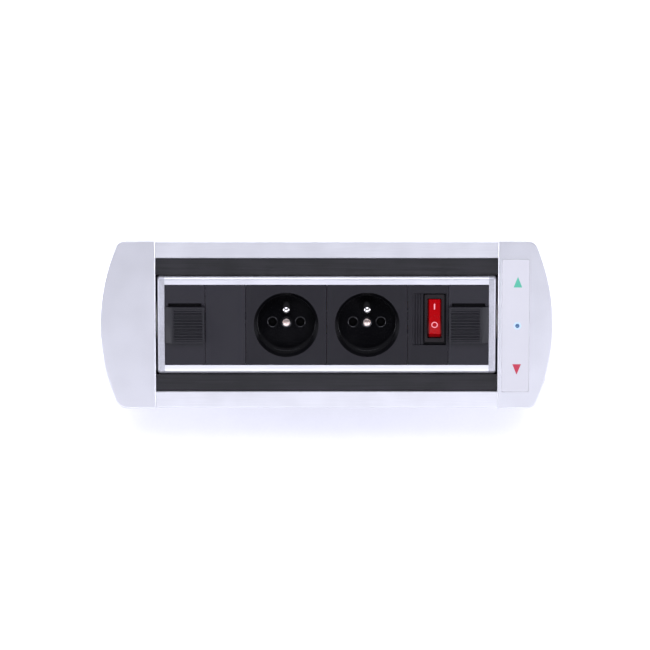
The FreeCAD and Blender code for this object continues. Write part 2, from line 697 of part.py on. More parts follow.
def bearing_bracket():
    """Folded bracket that carries an axle bush; its foot is screwed to the trough floor."""
    half = TROUGH_INNER - SEAT_PLAY
    top = AXIS_Z + BRACKET_RISE
    shoulder = AXIS_Z - BRACKET_SHOULDER / 2
    outline = [
        (-half, SHEET + TROUGH_BEND),
        (half, SHEET + TROUGH_BEND),
        (half, shoulder),
        (BRACKET_RISE, top),
        (-BRACKET_RISE, top),
        (-half, shoulder),
    ]
    plate = prism_x(outline, BRACKET_X, BRACKET_OUT)
    plate = rounded(plate, BRACKET_SHOULDER, X_AXIS, lambda m: m.z > shoulder - 1)
    foot_half = BRACKET_FOOT_HALF
    foot_end = BRACKET_OUT + BRACKET_FOOT
    foot = box(BRACKET_X, foot_end, -foot_half, foot_half, SHEET, SHEET + BRACKET_SHEET)
    bore = rod(AXLE_RADIUS + BUSH_WALL + HOLE_PLAY, BRACKET_X, BRACKET_OUT, 0, AXIS_Z)
    holes = [post(SCREW_RADIUS + HOLE_PLAY, x, y, 0, AXIS_Z / 2) for x, y in foot_screws()]
    return joined(plate, foot).cut([bore] + holes)


def right_bearing_bracket():
    """Bracket that also carries the gear motor and the post of the idler gear."""
    idler_y, idler_z = idler_centre()
    post_hole = rod(IDLER_PIN + HOLE_PLAY, BRACKET_X, BRACKET_OUT, idler_y, idler_z + AXIS_Z)
    nose_hole = rod(MOTOR_NOSE + HOLE_PLAY, BRACKET_X, BRACKET_OUT, MOTOR_Y, MOTOR_Z + AXIS_Z)
    screw_holes = [motor_screw(y, z, HOLE_PLAY) for y, z in motor_screw_places()]
    return bearing_bracket().cut([post_hole, nose_hole] + screw_holes)


def axle_bushes():
    """Flanged bushes in which the axles turn, one at each end."""
    outer = AXLE_RADIUS + BUSH_WALL
    inner = AXLE_RADIUS + RUNNING_PLAY
    body = rod(outer, BRACKET_X, BRACKET_OUT + BUSH_TAIL)
    flange = rod(outer + BUSH_FLANGE, BRACKET_X - BUSH_FLANGE_THICKNESS, BRACKET_X)
    bush = joined(body, flange).cut(rod(inner, 0, WALL_X))
    return group([bush, mirror_x(bush)])


def motor_screw_places():
    """Two countersunk screws beside the gearbox's nose, at its own height."""
    return [(MOTOR_Y + side * MOTOR_SCREW_CIRCLE, MOTOR_Z + AXIS_Z) for side in (-1, 1)]


def motor_screw(y, z, play):
    """Countersunk screw from the bracket's outer face into the gearbox, larger by the play."""
    head_height = MOTOR_SCREW_HEAD - MOTOR_SCREW
    head_start = Vector(BRACKET_OUT - head_height, y, z)
    head = Part.makeCone(MOTOR_SCREW + play, MOTOR_SCREW_HEAD + play, head_height, head_start, X_AXIS)
    return joined(head, rod(MOTOR_SCREW + play, BRACKET_OUT - MOTOR_SCREW_LENGTH, BRACKET_OUT, y, z))


def frame_screws():
    """The M3 screws that hold rails, caps and brackets, and the two of the gearbox."""
    screws = [motor_screw(y, z, 0) for y, z in motor_screw_places()]
    for x in screw_places():
        seat = RAIL_INNER - BAND_FLANGE
        height = DESK_Z - RAIL_SCREW_DROP
        rear = pan_screw(Vector(x, seat, height), Y_AXIS, FRAME_SCREW_LENGTH)
        screws += [rear, mirror_y(rear)]
    for x, y in foot_screws():
        screws.append(pan_screw(Vector(x, y, SHEET + BRACKET_SHEET), -Z_AXIS, FRAME_SCREW_LENGTH))
    for x in (-BOSS_X, BOSS_X):
        for y in (-BOSS_Y, BOSS_Y):
            screws.append(pan_screw(Vector(x, y, DESK_Z - SHEET), Z_AXIS, FRAME_SCREW_LENGTH))
    return group(screws)


def right_clamp_claw():
    """Claw that grips the worktop from below; its slot lets it slide up and down."""
    inner = WALL_OUT + CLAW_PLAY
    outer = inner + CLAW_SHEET
    tip = outer + CLAW_REACH
    foot_under = CLAW_FOOT_Z - CLAW_SHEET
    outline = [
        (inner, CLAW_FOOT_Z - CLAW_DROP),
        (outer, CLAW_FOOT_Z - CLAW_DROP),
        (outer, foot_under),
        (tip, foot_under),
        (tip, CLAW_FOOT_Z),
        (inner, CLAW_FOOT_Z),
    ]
    claw = prism_y(outline, -CLAW_HALF, CLAW_HALF)
    claw = rounded(claw, CLAW_BEND, Y_AXIS, lambda m: m.x < inner + 1 and m.z > foot_under)
    slot_half = CLAMP_SCREW + HOLE_PLAY * 2
    slot = box(inner, outer, -slot_half, slot_half, CLAMP_SCREW_Z - CLAW_UP, CLAMP_SCREW_Z + CLAW_DOWN)
    slot_ends = [rod(slot_half, inner, outer, 0, CLAMP_SCREW_Z + end) for end in (-CLAW_UP, CLAW_DOWN)]
    return claw.cut([slot] + slot_ends)


def clamp_screws():
    """Screws that hold the claws at their height."""
    seat = WALL_OUT + CLAW_PLAY * 2 + CLAW_SHEET
    shank = rod(CLAMP_SCREW, WALL_X - CLAMP_COLLAR, seat, 0, CLAMP_SCREW_Z)
    head = rod(CLAMP_HEAD, seat, seat + CLAMP_HEAD_HEIGHT, 0, CLAMP_SCREW_Z)
    recess = hexagon(HEX_KEY, seat + CLAMP_HEAD_HEIGHT / 2, seat + CLAMP_HEAD_HEIGHT, 0, CLAMP_SCREW_Z)
    screw = head.fuse(shank).cut(recess)
    return group([screw, mirror_x(screw)])


# Cable gland and wiring of the housing

def gland_ring(shape_radius, x_start, x_end):
    """Round bar on the axis of the gland, measured outwards from the left end wall."""
    return rod(shape_radius, -WALL_OUT - x_end, -WALL_OUT - x_start, GLAND_Y, GLAND_Z)


def gland_hexagon(x_start, x_end):
    """Hexagon on the axis of the gland, measured outwards from the left end wall."""
    return hexagon(GLAND_HEX, -WALL_OUT - x_end, -WALL_OUT - x_start, GLAND_Y, GLAND_Z)


def gland_body():
    """Gland body: hexagon on the wall, thread inwards, cup for the seal outwards."""
    neck_end = GLAND_HEX_THICKNESS + GLAND_NECK_LENGTH
    body = joined(
        gland_hexagon(0, GLAND_HEX_THICKNESS),
        gland_ring(GLAND_THREAD, -GLAND_TAIL, 0),
        gland_ring(GLAND_NECK, GLAND_HEX_THICKNESS, neck_end),
    )
    bore = gland_ring(GLAND_BORE, -GLAND_TAIL, neck_end)
    cup = gland_ring(GLAND_SEAL + RUNNING_PLAY, neck_end - GLAND_CUP, neck_end)
    return body.cut([bore, cup])


def gland_seal():
    """Rubber seal in the cup of the gland body."""
    end = GLAND_HEX_THICKNESS + GLAND_NECK_LENGTH
    return gland_ring(GLAND_SEAL, end - GLAND_CUP, end).cut(gland_ring(GLAND_SEAL_BORE, 0, end))


def gland_nut():
    """Domed nut that presses the seal."""
    start = GLAND_HEX_THICKNESS + SEAT_PLAY
    end = start + GLAND_NUT_LENGTH
    neck_end = GLAND_HEX_THICKNESS + GLAND_NECK_LENGTH
    body = gland_hexagon(start, end - GLAND_NUT_FACE)
    dome = Part.makeCone(GLAND_HEX / 2, GLAND_BORE + GLAND_NUT_RIM, GLAND_NUT_FACE,
                         Vector(-WALL_OUT - end + GLAND_NUT_FACE, GLAND_Y, GLAND_Z), -X_AXIS)
    thread = gland_ring(GLAND_NECK + RUNNING_PLAY, start, neck_end + SEAT_PLAY)
    return joined(body, dome).cut([thread, gland_ring(GLAND_BORE, start, end)])


def gland_locknut():
    """Nut that holds the gland from inside."""
    nut = hexagon(GLAND_HEX, -WALL_X, -WALL_X + GLAND_LOCKNUT, GLAND_Y, GLAND_Z)
    return nut.cut(rod(GLAND_THREAD + RUNNING_PLAY, -WALL_X, -WALL_X + GLAND_LOCKNUT, GLAND_Y, GLAND_Z))


def terminal_block():
    """Screw terminals where the supply joins the lead of the drum."""
    start = -WALL_X + BLOCK_GAP
    end = start + BLOCK_LENGTH
    block = box(start, end, BLOCK_Y, BLOCK_Y + BLOCK_WIDTH, SHEET, SHEET + BLOCK_HEIGHT)
    pitch = BLOCK_WIDTH / BLOCK_POLES
    wells = []
    for pole in range(BLOCK_POLES):
        y = BLOCK_Y + pitch * (pole + 0.5)
        wells.append(post(BLOCK_WELL, (start + end) / 2, y, SHEET + BLOCK_HEIGHT / 2, SHEET + BLOCK_HEIGHT))
    return block.cut(wells)


def lead(route, radius):
    """Round lead along straight runs joined by tangent arcs as large as the runs allow."""
    points = [Vector(*place) for place in route]
    edges = []
    start = points[0]
    for before, corner, after in zip(points, points[1:], points[2:]):
        inward = (before - corner).normalize()
        outward = (after - corner).normalize()
        turn = math.pi - inward.getAngle(outward)
        cut = 0.45 * min((before - corner).Length, (after - corner).Length)
        bend = cut / math.tan(turn / 2)
        arc_start = corner + Vector(inward).multiply(cut)
        arc_end = corner + Vector(outward).multiply(cut)
        bisector = (inward + outward).normalize()
        middle = corner + bisector.multiply(bend / math.cos(turn / 2) - bend)
        edges.append(Part.LineSegment(start, arc_start).toShape())
        edges.append(Part.Arc(arc_start, middle, arc_end).toShape())
        start = arc_end
    edges.append(Part.LineSegment(start, points[-1]).toShape())
    section = Part.Wire(Part.makeCircle(radius, points[0], points[1] - points[0]))
    return Part.Wire(edges).makePipeShell([section], True, False)


def terminal_lead():
    """Lead from the terminals up to the hollow axle, where the lead of the drum goes on."""
    axle_end = -(BRACKET_OUT + AXLE_TAIL) - SEAT_PLAY * 2
    turn_x = -WALL_X + LEAD_RADIUS + LEAD_WALL_GAP
    block_x = -WALL_X + BLOCK_GAP + BLOCK_LENGTH / 2
    block_z = SHEET + BLOCK_HEIGHT / 2
    high_y, arch_y, low_y = LEAD_STEPS
    route = [
        (axle_end, 0, AXIS_Z),
        (turn_x, 0, AXIS_Z),
        (turn_x, high_y, AXIS_Z - LEAD_DROP),
        (block_x, arch_y, block_z + LEAD_ARCH),
        (block_x, low_y, block_z),
        (block_x, BLOCK_Y + BLOCK_WIDTH, block_z),
    ]
    return lead(route, LEAD_RADIUS)


def control_board():
    """Circuit board of the motor control, upright along the rear wall."""
    y_end = TROUGH_INNER - CONTROL_BOARD_SPACER
    z_start = SHEET + CONTROL_BOARD_RISE
    half = CONTROL_BOARD_HALF
    return box(-half, half, y_end - BOARD_THICKNESS, y_end, z_start, z_start + CONTROL_BOARD_HEIGHT)


def board_spacers():
    """Spacers between the control board and the trough wall."""
    spacers = []
    low = SHEET + CONTROL_BOARD_RISE + SPACER_INSET
    high = SHEET + CONTROL_BOARD_RISE + CONTROL_BOARD_HEIGHT - SPACER_INSET
    reach = CONTROL_BOARD_HALF - SPACER_INSET
    for x in (-reach, reach):
        for z in (low, high):
            place = Vector(x, TROUGH_INNER - CONTROL_BOARD_SPACER, z)
            spacers.append(Part.makeCylinder(SPACER_RADIUS, CONTROL_BOARD_SPACER, place, Y_AXIS))
    return group(spacers)


def board_components():
    """Transformer, relay, two capacitors and connector in a row along the control board."""
    face = TROUGH_INNER - CONTROL_BOARD_SPACER - BOARD_THICKNESS
    top = face - COMPONENT_HEIGHT
    base = SHEET + CONTROL_BOARD_RISE + COMPONENT_MARGIN
    start = -CONTROL_BOARD_HALF + SPACER_INSET * 2
    components = []
    for length, height in (TRANSFORMER, RELAY, CONNECTOR):
        components.append(box(start, start + length, top, face, base, base + height))
        start += length + COMPONENT_MARGIN
    for _ in range(2):
        start += CAPACITOR_RADIUS
        place = Vector(start, top, base + CAPACITOR_RADIUS)
        components.append(Part.makeCylinder(CAPACITOR_RADIUS, COMPONENT_HEIGHT, place, Y_AXIS))
        start += CAPACITOR_RADIUS + COMPONENT_MARGIN
    return group(components)


# Drive

def idler_centre():
    """Place of the idler gear, in mesh with both the drum gear and the pinion."""
    to_drum = GEAR_MODULE * (DRUM_TEETH + IDLER_TEETH) / 2 + MESH_PLAY
    to_pinion = GEAR_MODULE * (IDLER_TEETH + PINION_TEETH) / 2 + MESH_PLAY
    distance = math.hypot(MOTOR_Y, MOTOR_Z)
    along = (to_drum ** 2 - to_pinion ** 2 + distance ** 2) / (2 * distance)
    across = math.sqrt(to_drum ** 2 - along ** 2)
    unit_y = MOTOR_Y / distance
    unit_z = MOTOR_Z / distance
    return unit_y * along + unit_z * across, unit_z * along - unit_y * across


def involute(angle_radius, base_radius):
    """Polar angle that an involute has gained where it reaches a radius."""
    if angle_radius <= base_radius:
        return 0.0
    roll = math.sqrt((angle_radius / base_radius) ** 2 - 1)
    return roll - math.atan(roll)


def gear_blank(teeth, phase, centre):
    """Spur gear between the gear planes, with one tooth at the phase angle."""
    pitch_radius = GEAR_MODULE * teeth / 2
    base_radius = pitch_radius * math.cos(PRESSURE_ANGLE)
    tip_radius = pitch_radius + GEAR_MODULE
    root_radius = pitch_radius - DEDENDUM * GEAR_MODULE
    flank_start = max(base_radius, root_radius)
    half_tooth = math.pi / (2 * teeth) - TOOTH_PLAY / (2 * pitch_radius)
    half_tooth += involute(pitch_radius, base_radius)

    def at(radius, angle):
        y = centre[0] + radius * math.cos(angle)
        z = centre[1] + radius * math.sin(angle)
        return Vector(GEAR_X, y, z)

    edges = []
    outline = []
    for tooth in range(teeth):
        middle = phase + 2 * math.pi * tooth / teeth
        flank = []
        for radius in (flank_start, (flank_start + tip_radius) / 2, tip_radius):
            flank.append((radius, half_tooth - involute(radius, base_radius)))
        root_angle = flank[0][1]
        rising = [at(radius, middle - angle) for radius, angle in flank]
        falling = [at(radius, middle + angle) for radius, angle in reversed(flank)]
        outline.append(at(root_radius, middle - root_angle))
        outline.append(rising[0])
        edges.append(Part.Arc(*rising).toShape())
        edges.append(Part.LineSegment(rising[-1], falling[0]).toShape())
        edges.append(Part.Arc(*falling).toShape())
        outline.append(falling[-1])
        outline.append(at(root_radius, middle + root_angle))
    # Roots run straight from tooth to tooth, and in small gears down to a root below the base circle.
    for number, point in enumerate(outline):
        following = outline[(number + 1) % len(outline)]
        across_tooth = number % 4 == 1
        if not across_tooth and point.distanceToPoint(following) > 1e-6:
            edges.append(Part.LineSegment(point, following).toShape())
    edges = Part.__sortEdges__(edges)
    return Part.Face(Part.Wire(edges)).extrude(Vector(GEAR_WIDTH, 0, 0))


def gear_phases():
    """Angles of one tooth of the drum gear, the idler and the pinion, all in mesh at rest."""
    idler_y, idler_z = idler_centre()
    to_idler = math.atan2(idler_z, idler_y)
    to_pinion = math.atan2(MOTOR_Z - idler_z, MOTOR_Y - idler_y)
    idler_step = 2 * math.pi / IDLER_TEETH
    pinion_step = 2 * math.pi / PINION_TEETH
    idler_phase = to_idler + math.pi + idler_step / 2
    share = ((to_pinion - idler_phase) % idler_step) / idler_step
    pinion_phase = to_pinion + math.pi + share * pinion_step + pinion_step / 2
    return to_idler, idler_phase, pinion_phase


def gear_seat(play):
    """Flatted end of the right axle, larger by the play."""
    seat = rod(GEAR_SEAT + play, GEAR_X, GEAR_END)
    flat = box(GEAR_X, GEAR_END, -AXLE_RADIUS, AXLE_RADIUS, GEAR_SEAT_FLAT + play, AXLE_RADIUS)
    return seat.cut(flat)


def drum_gear():
    """Large gear on the right axle."""
    gear = gear_blank(DRUM_TEETH, gear_phases()[0], (0, 0))
    holes = [gear_seat(RUNNING_PLAY)]
    for number in range(GEAR_LIGHTENING_HOLES):
        angle = 2 * math.pi * number / GEAR_LIGHTENING_HOLES
        y = GEAR_LIGHTENING_CIRCLE * math.cos(angle)
        z = GEAR_LIGHTENING_CIRCLE * math.sin(angle)
        holes.append(rod(GEAR_LIGHTENING_RADIUS, GEAR_X, GEAR_END, y, z))
    return gear.cut(holes)


def idler_gear():
    """Idler between the pinion and the drum gear."""
    centre = idler_centre()
    gear = gear_blank(IDLER_TEETH, gear_phases()[1], centre)
    return gear.cut(rod(IDLER_PIN + RUNNING_PLAY, GEAR_X, GEAR_END, *centre))


def drive_pinion():
    """Pinion on the output shaft of the gear motor."""
    gear = gear_blank(PINION_TEETH, gear_phases()[2], (MOTOR_Y, MOTOR_Z))
    shaft = rod(MOTOR_SHAFT, BRACKET_X - MOTOR_SHAFT_DEPTH, GEAR_END, MOTOR_Y, MOTOR_Z)
    return joined(gear, shaft)


def idler_post():
    """Shouldered post of the idler gear, riveted in the bracket."""
    y, z = idler_centre()
    head_start = GEAR_END + GEAR_GAP / 4
    collar_end = GEAR_X - GEAR_GAP / 4
    return joined(
        rod(IDLER_PIN, BRACKET_X, head_start + IDLER_HEAD_THICKNESS, y, z),
        rod(IDLER_HEAD, BRACKET_OUT, collar_end, y, z),
        rod(IDLER_HEAD, head_start, head_start + IDLER_HEAD_THICKNESS, y, z),
    )


def motor_gearbox():
    """Reduction gearbox: its nose passes through the bracket."""
    nose_end = GEAR_X - GEAR_GAP / 4
    bore_start = BRACKET_X - MOTOR_SHAFT_DEPTH - MOTOR_SHAFT_END_PLAY
    body = joined(
        rod(GEARBOX_RADIUS, BRACKET_X - GEARBOX_LENGTH, BRACKET_X, MOTOR_Y, MOTOR_Z),
        rod(MOTOR_NOSE, BRACKET_X, nose_end, MOTOR_Y, MOTOR_Z),
    )
    cuts = [rod(MOTOR_SHAFT + RUNNING_PLAY, bore_start, nose_end, MOTOR_Y, MOTOR_Z)]
    cuts += [motor_screw(y, z - AXIS_Z, HOLE_PLAY) for y, z in motor_screw_places()]
    return body.cut(cuts)


def drive_motor():
    """Motor can with its rear bearing and terminals."""
    end = BRACKET_X - GEARBOX_LENGTH
    start = end - MOTOR_LENGTH
    can = rod(MOTOR_RADIUS, start, end, MOTOR_Y, MOTOR_Z)
    can = can.makeFillet(MOTOR_EDGE, edges_at(can, "X", start))
    bearing = rod(MOTOR_NOSE, start - MOTOR_BEARING, start, MOTOR_Y, MOTOR_Z)
    half = MOTOR_TAB / 2
    half_thickness = MOTOR_TAB_THICKNESS / 2
    tabs = []
    for y in (MOTOR_Y - MOTOR_TAB_OFFSET, MOTOR_Y + MOTOR_TAB_OFFSET):
        tabs.append(box(start - MOTOR_TAB_REACH, start, y - half, y + half,
                        MOTOR_Z - half_thickness, MOTOR_Z + half_thickness))
    return joined(can, bearing, *tabs)


# Drum

def drum_section(x_start, x_end):
    """Rounded block with the full section of the drum."""
    block = box(x_start, x_end, -DRUM_HALF, DRUM_HALF, -DRUM_TOP, DRUM_TOP)
    return rounded(block, DRUM_CORNER, X_AXIS)


def port_places():
    """Screw ports in the four corners of the drum."""
    return [(y, z) for y in (-PORT_Y, PORT_Y) for z in (LOWER_PORT_Z, UPPER_PORT_Z)]


def drum_profile():
    """Extruded drum: closed base that shows when it is turned over, lips over the modules."""
    length = DRUM_HALF_LENGTH
    shell = drum_section(-length, length)
    cavity = box(-length, length, -DRUM_CAVITY, DRUM_CAVITY, DRUM_FLOOR, LIP_UNDER)
    mouth = box(-length, length, -SLOT_HALF, SLOT_HALF, 0, DRUM_TOP)
    shell = shell.cut([cavity, mouth])
    rib = box(-length, length, RIB_INNER, DRUM_CAVITY, RIB_UNDER, RIB_TOP)
    ports = []
    for y, z in port_places():
        wall_y = math.copysign(DRUM_CAVITY, y)
        root = box(-length, length, min(y, wall_y), max(y, wall_y), z - PORT_RADIUS, z + PORT_RADIUS)
        ports += [rod(PORT_RADIUS, -length, length, y, z), root]
    shell = joined(shell, rib, mirror_y(rib), *ports)
    return shell.cut([rod(PORT_BORE, -length, length, y, z) for y, z in port_places()])


def right_end_plate():
    """Thick end plate with softly rounded outer edges."""
    plate = drum_section(DRUM_HALF_LENGTH, DRUM_END)
    plate = plate.makeFillet(END_PLATE_ROUND, edges_at(plate, "X", DRUM_END))
    cuts = [rod(AXLE_RADIUS + RUNNING_PLAY, DRUM_HALF_LENGTH, DRUM_END)]
    head_seat = DRUM_END - SCREW_HEAD_HEIGHT
    for y, z in port_places():
        cuts.append(rod(SCREW_RADIUS + HOLE_PLAY, DRUM_HALF_LENGTH, DRUM_END, y, z))
        cuts.append(rod(SCREW_HEAD + HOLE_PLAY, head_seat, DRUM_END, y, z))
    for y, z in axle_screw_places():
        cuts.append(rod(SCREW_RADIUS + HOLE_PLAY, DRUM_HALF_LENGTH, DRUM_END - SHEET, y, z))
    return plate.cut(cuts)


def axle_screw_places():
    """Screws that hold the axle flange to the end plate."""
    angles = [math.pi / 6 + 2 * math.pi * number / 3 for number in range(3)]
    return [(AXLE_SCREW_CIRCLE * math.cos(a), AXLE_SCREW_CIRCLE * math.sin(a)) for a in angles]


def axle_flange():
    """Flange of an axle, screwed to the inside of the right end plate."""
    start = DRUM_HALF_LENGTH - AXLE_FLANGE_THICKNESS
    flange = rod(AXLE_FLANGE, start, DRUM_HALF_LENGTH)
    holes = [rod(SCREW_RADIUS + HOLE_PLAY, start, DRUM_HALF_LENGTH, y, z) for y, z in axle_screw_places()]
    return flange.cut(holes)


def right_axle():
    """Solid axle with the flatted seat of the drum gear."""
    shaft = rod(AXLE_RADIUS, DRUM_HALF_LENGTH - AXLE_FLANGE_THICKNESS, GEAR_X)
    axle = joined(axle_flange(), shaft, gear_seat(0))
    return axle.cut(rod(GEAR_SCREW + HOLE_PLAY, BRACKET_X, GEAR_END))


def left_axle():
    """Hollow axle through which the lead enters the drum, grooved for its ring."""
    start = DRUM_HALF_LENGTH - AXLE_FLANGE_THICKNESS
    end = BRACKET_OUT + AXLE_TAIL
    axle = joined(axle_flange(), rod(AXLE_RADIUS, start, end))
    groove_start = BRACKET_OUT + BUSH_TAIL + HOLE_PLAY
    groove = tube(AXLE_RADIUS, AXLE_RADIUS - RING_GROOVE, groove_start, groove_start + RING_THICKNESS)
    return mirror_x(axle.cut([rod(AXLE_BORE, start, end), groove]))


def axle_ring():
    """Open spring ring that keeps the left axle in its bush."""
    start = BRACKET_OUT + BUSH_TAIL + HOLE_PLAY
    inner = AXLE_RADIUS - RING_GROOVE
    ring = tube(inner + RING_WIDTH, inner, start, start + RING_THICKNESS)
    gap = box(start, start + RING_THICKNESS, -RING_WIDTH, RING_WIDTH, -2 * AXLE_RADIUS, 0)
    return mirror_x(ring.cut(gap))


def drum_gear_screw():
    """Screw with a fixed washer that holds the drum gear on its seat."""
    head_start = GEAR_END + GEAR_WASHER
    head_end = head_start + GEAR_SCREW_HEIGHT
    washer = rod(AXLE_RADIUS, GEAR_END, head_start)
    head = rod(GEAR_SCREW_HEAD, GEAR_END, head_end)
    shank = rod(GEAR_SCREW, BRACKET_OUT, GEAR_END)
    recess = hexagon(HEX_KEY, head_start, head_end, 0, 0)
    return joined(washer, head, shank).cut(recess)


def drum_screws():
    """Screws of the drum: four in each end plate, three in each axle flange, one for the gear."""
    screws = []
    for y, z in port_places():
        screws.append(pan_screw(Vector(DRUM_END - SCREW_HEAD_HEIGHT, y, z), -X_AXIS, DRUM_SCREW_LENGTH))
    flange_face = DRUM_HALF_LENGTH - AXLE_FLANGE_THICKNESS
    reach = AXLE_FLANGE_THICKNESS + END_PLATE - SHEET
    for y, z in axle_screw_places():
        screws.append(pan_screw(Vector(flange_face, y, z), X_AXIS, reach - HOLE_PLAY))
    return group(screws + [mirror_x(screw) for screw in screws] + [drum_gear_screw()])


# Modules of the drum

def module_plate(x_start, x_end):
    """Cover plate whose flanges slide under the lips of the drum."""
    start = x_start + MODULE_GAP / 2
    end = x_end - MODULE_GAP / 2
    face_half = SLOT_HALF - SEAT_PLAY
    flange_half = DRUM_CAVITY - SEAT_PLAY
    face = box(start, end, -face_half, face_half, LIP_UNDER, MODULE_FACE)
    flange = box(start, end, -flange_half, flange_half, MODULE_UNDER, LIP_UNDER)
    return joined(face, flange)


def blank_module():
    """Blank cover of half a module."""
    return module_plate(-CATCH_X, -MODULE_PITCH)


def pin_places(centre_x):
    """Pin holes of a socket: neutral first, then line."""
    return (centre_x - PIN_SPACING / 2, centre_x + PIN_SPACING / 2)


def socket(centre_x):
    """Socket with its deep round cup, pin holes, earth pin hole and centre boss."""
    plate = module_plate(centre_x - MODULE_PITCH / 2, centre_x + MODULE_PITCH / 2)
    body = joined(plate, post(CUP_OUTER, centre_x, 0, CUP_UNDER, LIP_UNDER))
    chamfer = CUP_MOUTH - CUP_RADIUS
    cuts = [
        post(CUP_RADIUS, centre_x, 0, CUP_FLOOR_Z, MODULE_FACE),
        cone(CUP_RADIUS, CUP_MOUTH, centre_x, 0, MODULE_FACE - chamfer, MODULE_FACE),
    ]
    body = body.cut(cuts)
    boss = post(CENTRE_BOSS, centre_x, 0, CUP_UNDER, CUP_FLOOR_Z + CENTRE_BOSS_HEIGHT)
    body = joined(body, boss)
    holes = [
        post(SCREW_RADIUS + HOLE_PLAY, centre_x, 0, CUP_UNDER, MODULE_FACE),
        post(EARTH_PIN_NECK + RUNNING_PLAY, centre_x, EARTH_PIN_OFFSET, CUP_UNDER, MODULE_FACE),
    ]
    for x in pin_places(centre_x):
        holes.append(post(PIN_HOLE, x, 0, CUP_UNDER, CUP_FLOOR_Z))
        holes.append(cone(PIN_HOLE, PIN_DISH, x, 0, CUP_FLOOR_Z - PIN_DISH_DEPTH, CUP_FLOOR_Z))
    return body.cut(holes)


def socket_back(centre_x):
    """Cup that closes a socket from below, slotted for the conductors."""
    bottom = SOCKET_BACK_Z
    inner = CUP_OUTER - SOCKET_BACK_WALL
    shell = post(CUP_OUTER, centre_x, 0, bottom, CUP_UNDER)
    shell = shell.cut(post(inner, centre_x, 0, bottom + SOCKET_BACK_WALL, CUP_UNDER))
    slot_front = -BAR_OFFSET - BAR_WIDTH / 2 - BAR_SLOT_PLAY
    slot_rear = EARTH_PIN_OFFSET + EARTH_BAR_WIDTH / 2 + BAR_SLOT_PLAY
    slot_low = NEUTRAL_BAR_Z - BAR_SLOT_PLAY
    slot_high = EARTH_BAR_Z + BAR_THICKNESS + BAR_SLOT_PLAY
    slot = box(centre_x - CUP_OUTER, centre_x + CUP_OUTER, slot_front, slot_rear, slot_low, slot_high)
    shell = joined(shell.cut(slot), post(POST_RADIUS, centre_x, 0, bottom, CUP_UNDER))
    drill = post(SCREW_RADIUS + HOLE_PLAY, centre_x, 0, bottom + SOCKET_BACK_WALL, CUP_UNDER)
    return shell.cut(drill)


def shutter(centre_x):
    """Safety shutter: two wings under the pin holes, joined by a bar in front of the post."""
    top = CUP_UNDER - SHUTTER_PLAY
    under = top - SHUTTER_THICKNESS
    notch_half = POST_RADIUS + SHUTTER_PLAY
    front = -notch_half - SHUTTER_BRIDGE
    plate = box(centre_x - SHUTTER_HALF, centre_x + SHUTTER_HALF, front, SHUTTER_WING, under, top)
    plate = rounded(plate, SHUTTER_PLAY, Z_AXIS)
    notch = box(centre_x - notch_half, centre_x + notch_half, -notch_half, SHUTTER_WING, under, top)
    return plate.cut(notch)


def earth_pins():
    """Earth pins: rounded tip on the cup floor, neck and collar below it, riveted tail."""
    pins = []
    for x in SOCKET_CENTRES:
        tip = CUP_FLOOR_Z + EARTH_PIN_LENGTH
        pin = post(EARTH_PIN_RADIUS, x, EARTH_PIN_OFFSET, CUP_FLOOR_Z, tip)
        pin = pin.makeFillet(EARTH_PIN_TIP, edges_at(pin, "Z", tip))
        neck = post(EARTH_PIN_NECK, x, EARTH_PIN_OFFSET, EARTH_BAR_Z - EARTH_PIN_TAIL, CUP_FLOOR_Z)
        collar = post(EARTH_PIN_COLLAR, x, EARTH_PIN_OFFSET, EARTH_BAR_Z + BAR_THICKNESS, CUP_UNDER)
        pins.append(joined(pin, neck, collar))
    return group(pins)


def centre_screws():
    """Slotted screws in the middle of the cups, which hold the socket backs."""
    screws = []
    for x in SOCKET_CENTRES:
        seat = CUP_FLOOR_Z + CENTRE_BOSS_HEIGHT
        top = seat + CENTRE_SCREW_HEIGHT
        head = post(CENTRE_SCREW_HEAD, x, 0, seat, top)
        shank = post(SCREW_RADIUS, x, 0, (CUP_UNDER + SOCKET_BACK_Z) / 2, seat)
        half = CENTRE_SCREW_SLOT / 2
        reach = CENTRE_SCREW_HEAD
        slot = box(x - reach, x + reach, -half, half, top - CENTRE_SCREW_SLOT, top)
        screws.append(head.fuse(shank).cut(slot))
    return group(screws)


def contact_bar(level, holes):
    """Busbar with a spring sleeve under each of its pin holes."""
    outer = PIN_HOLE + SLEEVE_PLAY + SLEEVE_WALL
    front = -BAR_OFFSET - BAR_WIDTH / 2
    start = min(holes) - outer
    end = MODULE_PITCH + BAR_TAIL
    pieces = []
    bores = []
    for x in holes:
        pieces.append(box(x - outer, x + outer, front, outer, level, level + BAR_THICKNESS))
        pieces.append(post(outer, x, 0, level, SLEEVE_TOP))
        bores.append(post(PIN_HOLE + SLEEVE_PLAY, x, 0, level + BAR_THICKNESS, SLEEVE_TOP))
    strip = box(start, end, front, front + BAR_WIDTH, level, level + BAR_THICKNESS)
    return joined(strip, *pieces).cut(bores)


def line_busbar():
    """Line conductor: the right hole of the left socket, the right hole of the right one."""
    return contact_bar(LINE_BAR_Z, [pin_places(x)[1] for x in SOCKET_CENTRES])


def neutral_busbar():
    """Neutral conductor: the left hole of each socket."""
    return contact_bar(NEUTRAL_BAR_Z, [pin_places(x)[0] for x in SOCKET_CENTRES])


def earth_busbar():
    """Earth conductor that joins the two earth pins."""
    half = EARTH_BAR_WIDTH / 2
    end = MODULE_PITCH / 2 + EARTH_BAR_WIDTH
    tail = MODULE_PITCH + BAR_TAIL
    strip = box(-end, tail, EARTH_PIN_OFFSET - half, EARTH_PIN_OFFSET + half,
                EARTH_BAR_Z, EARTH_BAR_Z + BAR_THICKNESS)
    drill = EARTH_PIN_NECK + RUNNING_PLAY
    return strip.cut([post(drill, x, EARTH_PIN_OFFSET, EARTH_BAR_Z, CUP_UNDER) for x in SOCKET_CENTRES])


